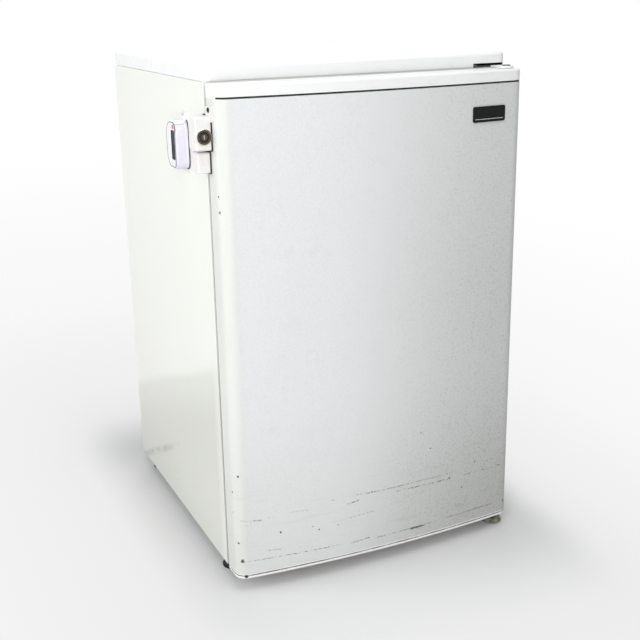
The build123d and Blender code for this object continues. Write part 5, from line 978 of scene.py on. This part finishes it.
# Ring round the key's axis: name, radius, half thickness
KEY_RINGS = (
    ("key_face_rim", 0.0101, 0.0009),
    ("key_face_ring", 0.0070, 0.0004),
    ("key_core_ring", 0.0044, 0.0004),
)
RING_STEPS = 40
key_y = span("lock_plug")[0].y
for name, radius, thick in KEY_RINGS:
    circle = oval(KEY_X, KEY_Z, radius, radius, RING_STEPS)
    rod(name, [(x, key_y + 0.4 * thick, z) for x, z in circle], thick, "lock_plug", "lock_dark")
bars("key_slot", (0.0013, 0.0008, 0.0064), "lock_plug", "bolt_steel", (KEY_X, key_y, KEY_Z))

side_x = span("cabinet_wrapper")[0].x


def shadow_bead(name, low, high, body, stand_off=0.0, thick=0.0011, corners=(0.0014, 0.0014)):
    """Black bead round the foot of a fitting on the side, as painted shadow in the gap round it.

    The radii of its front and rear corners come as a pair.
    """
    out = 0.6 * thick
    x = side_x - stand_off - thick
    front, rear = corners
    loop = rounded_loop(low, high, -out, rear + out, lambda u, v: (x, u, v), front + out)
    rod(name, loop, thick, body, "rubber_black")


BARREL_PROUD = 0.0015
FLANGE_RISE = 0.014
TAB_RISE = 0.015
MONITOR_CORNERS = (0.013, 0.024)
lock_low, lock_high = span("lock_case")
case_front = key_y + BARREL_PROUD
# Painted shadow: black beads round the lock case, its keeper and the monitor.
shadow_bead("lock_case_bead", (case_front, lock_low.z), (lock_high.y, lock_high.z - FLANGE_RISE), "door")
keeper_low, keeper_high = span("lock_keeper")
shadow_bead("lock_keeper_bead", keeper_low.yz, keeper_high.yz, "cabinet", 0.0006, 0.0009)
back_low, back_high = span("monitor_backplate")
back_top = (back_high.y, back_high.z - TAB_RISE)
shadow_bead("monitor_bead", back_low.yz, back_top, "cabinet", 0.0, 0.0008, MONITOR_CORNERS)

FACE_INSET = 0.0031
case_low, case_high = span("monitor_case")
rib_size = (0.0012, 0.0010, 0.046)
rib_place = (case_low.x + 0.0075, case_low.y + 0.0002, (case_low.z + case_high.z) / 2)
bars("monitor_front_ribs", rib_size, "cabinet", "monitor_case", rib_place, 2, (0.0055, 0.0, 0.0), ease=0.4)
face_front, face_rear = (radius - FACE_INSET for radius in MONITOR_CORNERS)
face_x = case_low.x + 0.0003
face_loop = rounded_loop(
    case_low.yz, case_high.yz, FACE_INSET, face_rear, lambda u, v: (face_x, u, v), face_front
)
rod("monitor_face_rim", face_loop, 0.0006, "cabinet", "window_dark")
window_low, window_high = span("monitor_window")
bezel = rounded_loop(window_low.yz, window_high.yz, 0.0, 0.0015, lambda u, v: (case_low.x, u, v))
rod("monitor_window_bezel", bezel, 0.0011, "cabinet", "window_dark")

FACE_LEFT = (0.0, -math.pi / 2, 0.0)
TICK_RADIUS = 0.0225
FIGURE_RADIUS = 0.0268
FIGURES = (("1", 135.0), ("2", 90.0), ("3", 45.0))
dial_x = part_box("control_housing")[0][0]
knob_low, knob_high = span("thermostat_knob")
knob_y, knob_z = (knob_low.y + knob_high.y) / 2, (knob_low.z + knob_high.z) / 2
tick = bar_blank((0.0040, 0.0009, 0.0004), ease=0.25)
press(
    "dial_ticks", RING, tick, "cabinet", "badge_black",
    Count=10, Radius=TICK_RADIUS, First=math.radians(-45.0), Step=math.radians(30.0),
    Turn=FACE_LEFT, Place=(dial_x, knob_y, knob_z),
)
pointer_place = (knob_low.x, knob_y, knob_z + 0.0085)
bars("knob_pointer", (0.0012, 0.0022, 0.0135), "thermostat_knob", "trim_white", pointer_place)


def dial_figures():
    """Figures 1 to 3 round the knob, as flat raised shapes on the housing."""
    joined = bmesh.new()
    for figure, degrees in FIGURES:
        words = bpy.data.curves.new("figure", "FONT")
        words.body = figure
        words.size = 0.0075
        words.extrude = 0.0002
        words.align_x = "CENTER"
        words.align_y = "CENTER"
        holder = shown_object("figure", words)
        flat = plain_mesh(holder)
        turn = math.radians(degrees)
        up = Matrix(((0, 0, -1), (-1, 0, 0), (0, 1, 0))).to_4x4()
        along, rise = FIGURE_RADIUS * math.cos(turn), FIGURE_RADIUS * math.sin(turn)
        up.translation = (dial_x, knob_y - along, knob_z + rise)
        flat.transform(up)
        joined.from_mesh(flat)
        bpy.data.objects.remove(holder)
    mesh = closed_mesh("dial_figures", joined)
    mesh.materials.append(FINISHES["badge_black"])
    settle(shown_object("dial_figures", mesh), "cabinet", 20.0)


dial_figures()

KNURLS = 27
KNURL_GAP = math.radians(22.0)
FEET = (("hinge_foot", "hinge_foot_grey"), ("left_foot", "foot_plastic"))
for foot, slot in FEET:
    foot_low, foot_high = span(foot)
    knurl = bar_blank((0.0016, 0.0022, 0.0046), (0.0, 0.0, 0.0031))
    press(
        foot + "_knurl", RING, knurl, foot, slot,
        Count=KNURLS, Radius=(foot_high.x - foot_low.x) / 2 - 0.0002,
        First=KNURL_GAP, Step=(math.tau - 2 * KNURL_GAP) / (KNURLS - 1),
        Place=((foot_low.x + foot_high.x) / 2, (foot_low.y + foot_high.y) / 2, foot_low.z),
    )

SHELL_Y = 0.190725
SEAM_RISE = 0.072
SEAM_HALF_X, SEAM_HALF_Y, SEAM_STEPS = 0.098, 0.071, 72
shell_low, shell_high = span("compressor")
shell_x = (shell_low.x + shell_high.x) / 2
seam = oval(shell_x, SHELL_Y, SEAM_HALF_X, SEAM_HALF_Y, SEAM_STEPS)
seam = [(x, y, shell_low.z + SEAM_RISE) for x, y in seam]
rod("compressor_seam_weld", seam, 0.0019, "cabinet", "compressor_black")
# Offsets from the shell's middle in x and y, then height
STUB = (
    (-0.045, 0.050, 0.090),
    (-0.045, 0.072, 0.090),
    (-0.046, 0.080, 0.094),
    (-0.048, 0.086, 0.104),
    (-0.049, 0.088, 0.118),
)
stub = [(shell_x + x, SHELL_Y + y, z) for x, y, z in STUB]
rod("process_stub", stub, 0.0032, "cabinet", "copper", closed=False, sides=10)
relay_low, relay_high = span("start_relay")
vent_size = (0.0010, 0.0030, 0.030)
vent_place = (relay_low.x, (relay_low.y + relay_high.y) / 2 - 0.018, (relay_low.z + relay_high.z) / 2)
bars("relay_vents", vent_size, "cabinet", "rubber_black", vent_place, 7, (0.0, 0.006, 0.0))

plate_low, plate_high = span("evaporator_plate")
sensor = [
    (dial_x + 0.012, 0.0335, knob_z),
    (dial_x + 0.010, 0.060, knob_z + 0.002),
    (dial_x + 0.004, 0.110, knob_z),
    (dial_x - 0.002, 0.165, knob_z - 0.012),
    (dial_x - 0.012, 0.205, knob_z - 0.030),
    (plate_high.x - 0.030, plate_low.y + 0.0022, knob_z - 0.060),
    (plate_high.x - 0.070, plate_low.y + 0.0018, knob_z - 0.078),
    (plate_high.x - 0.130, plate_low.y + 0.0018, knob_z - 0.080),
]
rod("sensor_line", sensor, 0.0011, "cabinet", "copper", closed=False)

RIM = 0.0017
RIM_CORNER = 0.0065
RIB_INSET = 0.04
for tray in ("lower_door_bin", "middle_door_bin", "upper_door_bin"):
    tray_low, tray_high = span(tray)
    rim_z = tray_high.z - RIM
    loop = rounded_loop(tray_low.xy, tray_high.xy, RIM, RIM_CORNER, lambda u, v, z=rim_z: (u, v, z))
    rod(tray + "_rim", loop, RIM, tray, "bin_clear", sides=10)
    rib_size = (tray_high.x - tray_low.x - RIB_INSET, 0.0016, 0.0030)
    rib_place = (door_mid, tray_high.y + 0.0002, tray_low.z + 0.016)
    bars(tray + "_ribs", rib_size, tray, "bin_clear", rib_place, 3, (0.0, 0.0, 0.011), ease=0.35)
tub_low, _ = span("crisper_drawer")
rib_place = (door_mid - 0.16, tub_low.y + 0.0085, tub_low.z + 0.070)
rib_size = (0.0030, 0.0016, 0.100)
bars("crisper_ribs", rib_size, "cabinet", "crisper_clear", rib_place, 9, (0.04, 0.0, 0.0), ease=0.35)


def background_rays(graph, share):
    """1 for what the camera sees, and a share of that for what mirrors and glass show."""
    seen = graph.node("ShaderNodeLightPath", out="Is Camera Ray")
    for ray in ("Is Glossy Ray", "Is Transmission Ray"):
        seen = seen.most(share * graph.node("ShaderNodeLightPath", out=ray))
    return seen


def stage_floor():
    """Pale floor that keeps the object's shadow and fades to white far off."""
    half_side, half_deep = 150.0, 0.29
    mesh = bpy.data.meshes.new("floor")
    corners = [(x * half_side, y * half_side, 0) for x, y in ((-1, -1), (1, -1), (1, 1), (-1, 1))]
    mesh.from_pydata(corners, [], [(0, 1, 2, 3)])
    floor = shown_object("floor", mesh)
    f = Finish("floor_white")
    paper = f.noise(1.5, 3.0)
    colour = f.blend(paper, (0.695, 0.695, 0.695), (0.715, 0.715, 0.715))
    lit = f.node("ShaderNodeBsdfPrincipled", {"Base Color": colour, "Roughness": 0.9})
    beside = 2.4 * (abs(f.x - door_mid) - door_half).most(0.0)
    before = (abs(f.y) - half_deep).most(0.0)
    far = (beside**2.0 + before**2.0) ** 0.5
    whitening = 0.5 * f.ramp(far, 0.35, 1.4) + 0.5 * f.ramp(far, 0.6, 5.0)
    tone = f.blend(whitening, (0.865, 0.865, 0.865), (1.0, 1.0, 1.0))
    glow = f.node("ShaderNodeEmission", {"Color": tone, "Strength": 1.0})
    share = 0.06 + 0.72 * f.ramp(far, 0.04, 0.30) + 0.22 * f.ramp(far, 0.15, 0.50)
    share = background_rays(f, 1.0) * share
    surface = f.node("ShaderNodeMixShader", {0: share, 1: lit, 2: glow})
    f.node("ShaderNodeOutputMaterial", {"Surface": surface})
    floor.data.materials.append(f.material)


def studio_world(strength):
    """Even pale light from all round; the camera sees white, mirrors and glass mostly white."""
    world = bpy.data.worlds.new("studio")
    world.use_nodes = True
    bpy.context.scene.world = world
    sky = Graph()
    sky.tree = world.node_tree
    sky.tree.nodes.clear()
    lit = sky.node("ShaderNodeBackground", {"Color": (0.96, 0.98, 1.0), "Strength": strength})
    white = sky.node("ShaderNodeBackground", {"Color": (1.0, 1.0, 1.0), "Strength": 1.0})
    share = background_rays(sky, 0.75)
    surface = sky.node("ShaderNodeMixShader", {0: share, 1: lit, 2: white})
    sky.node("ShaderNodeOutputWorld", {"Surface": surface})


def area_lamp(name, place, target, size, watts):
    """Soft rectangular lamp that faces a point."""
    data = bpy.data.lights.new(name, "AREA")
    data.shape = "RECTANGLE"
    data.size, data.size_y = size
    data.energy = watts
    lamp = shown_object(name, data)
    lamp.location = place
    lamp.rotation_euler = (Vector(target) - Vector(place)).to_track_quat("-Z", "Y").to_euler()
    lamp.visible_camera = False


YAW, PITCH, ROLL = (math.radians(angle) for angle in (24.569, 17.318, -1.115))
CAMERA_PLACE = (-0.75105, -1.72348, 0.9442)
LENS = 58.48


def photo_camera():
    """Camera where the photograph was taken from, found from the cabinet's edges."""
    data = bpy.data.cameras.new("photo")
    data.sensor_width = 36.0
    data.lens = LENS
    data.clip_end = 500.0
    camera = shown_object("photo", data)
    facing = Matrix.Rotation(-YAW, 4, "Z") @ Matrix.Rotation(math.pi / 2 - PITCH, 4, "X")
    camera.matrix_world = Matrix.Translation(CAMERA_PLACE) @ facing @ Matrix.Rotation(ROLL, 4, "Z")
    bpy.context.scene.camera = camera


# Place, point that it faces, size and watts
LAMPS = {
    "key": ((-0.95, -1.60, 0.95), (0.0, -0.25, 0.45), (0.6, 1.9), 17.0),
    "side": ((-2.3, 0.35, 1.3), (-0.25, 0.0, 0.5), (1.4, 1.4), 22.5),
    "top": ((-0.1, -0.8, 2.8), (0.0, 0.0, 0.8), (1.8, 1.8), 30.0),
    "rear": ((1.1, 2.6, 1.5), (0.0, 0.3, 0.45), (1.6, 1.6), 16.0),
}
stage_floor()
studio_world(0.30)
for name, row in LAMPS.items():
    area_lamp(name, *row)
photo_camera()

bpy.context.scene.view_settings.view_transform = "Standard"
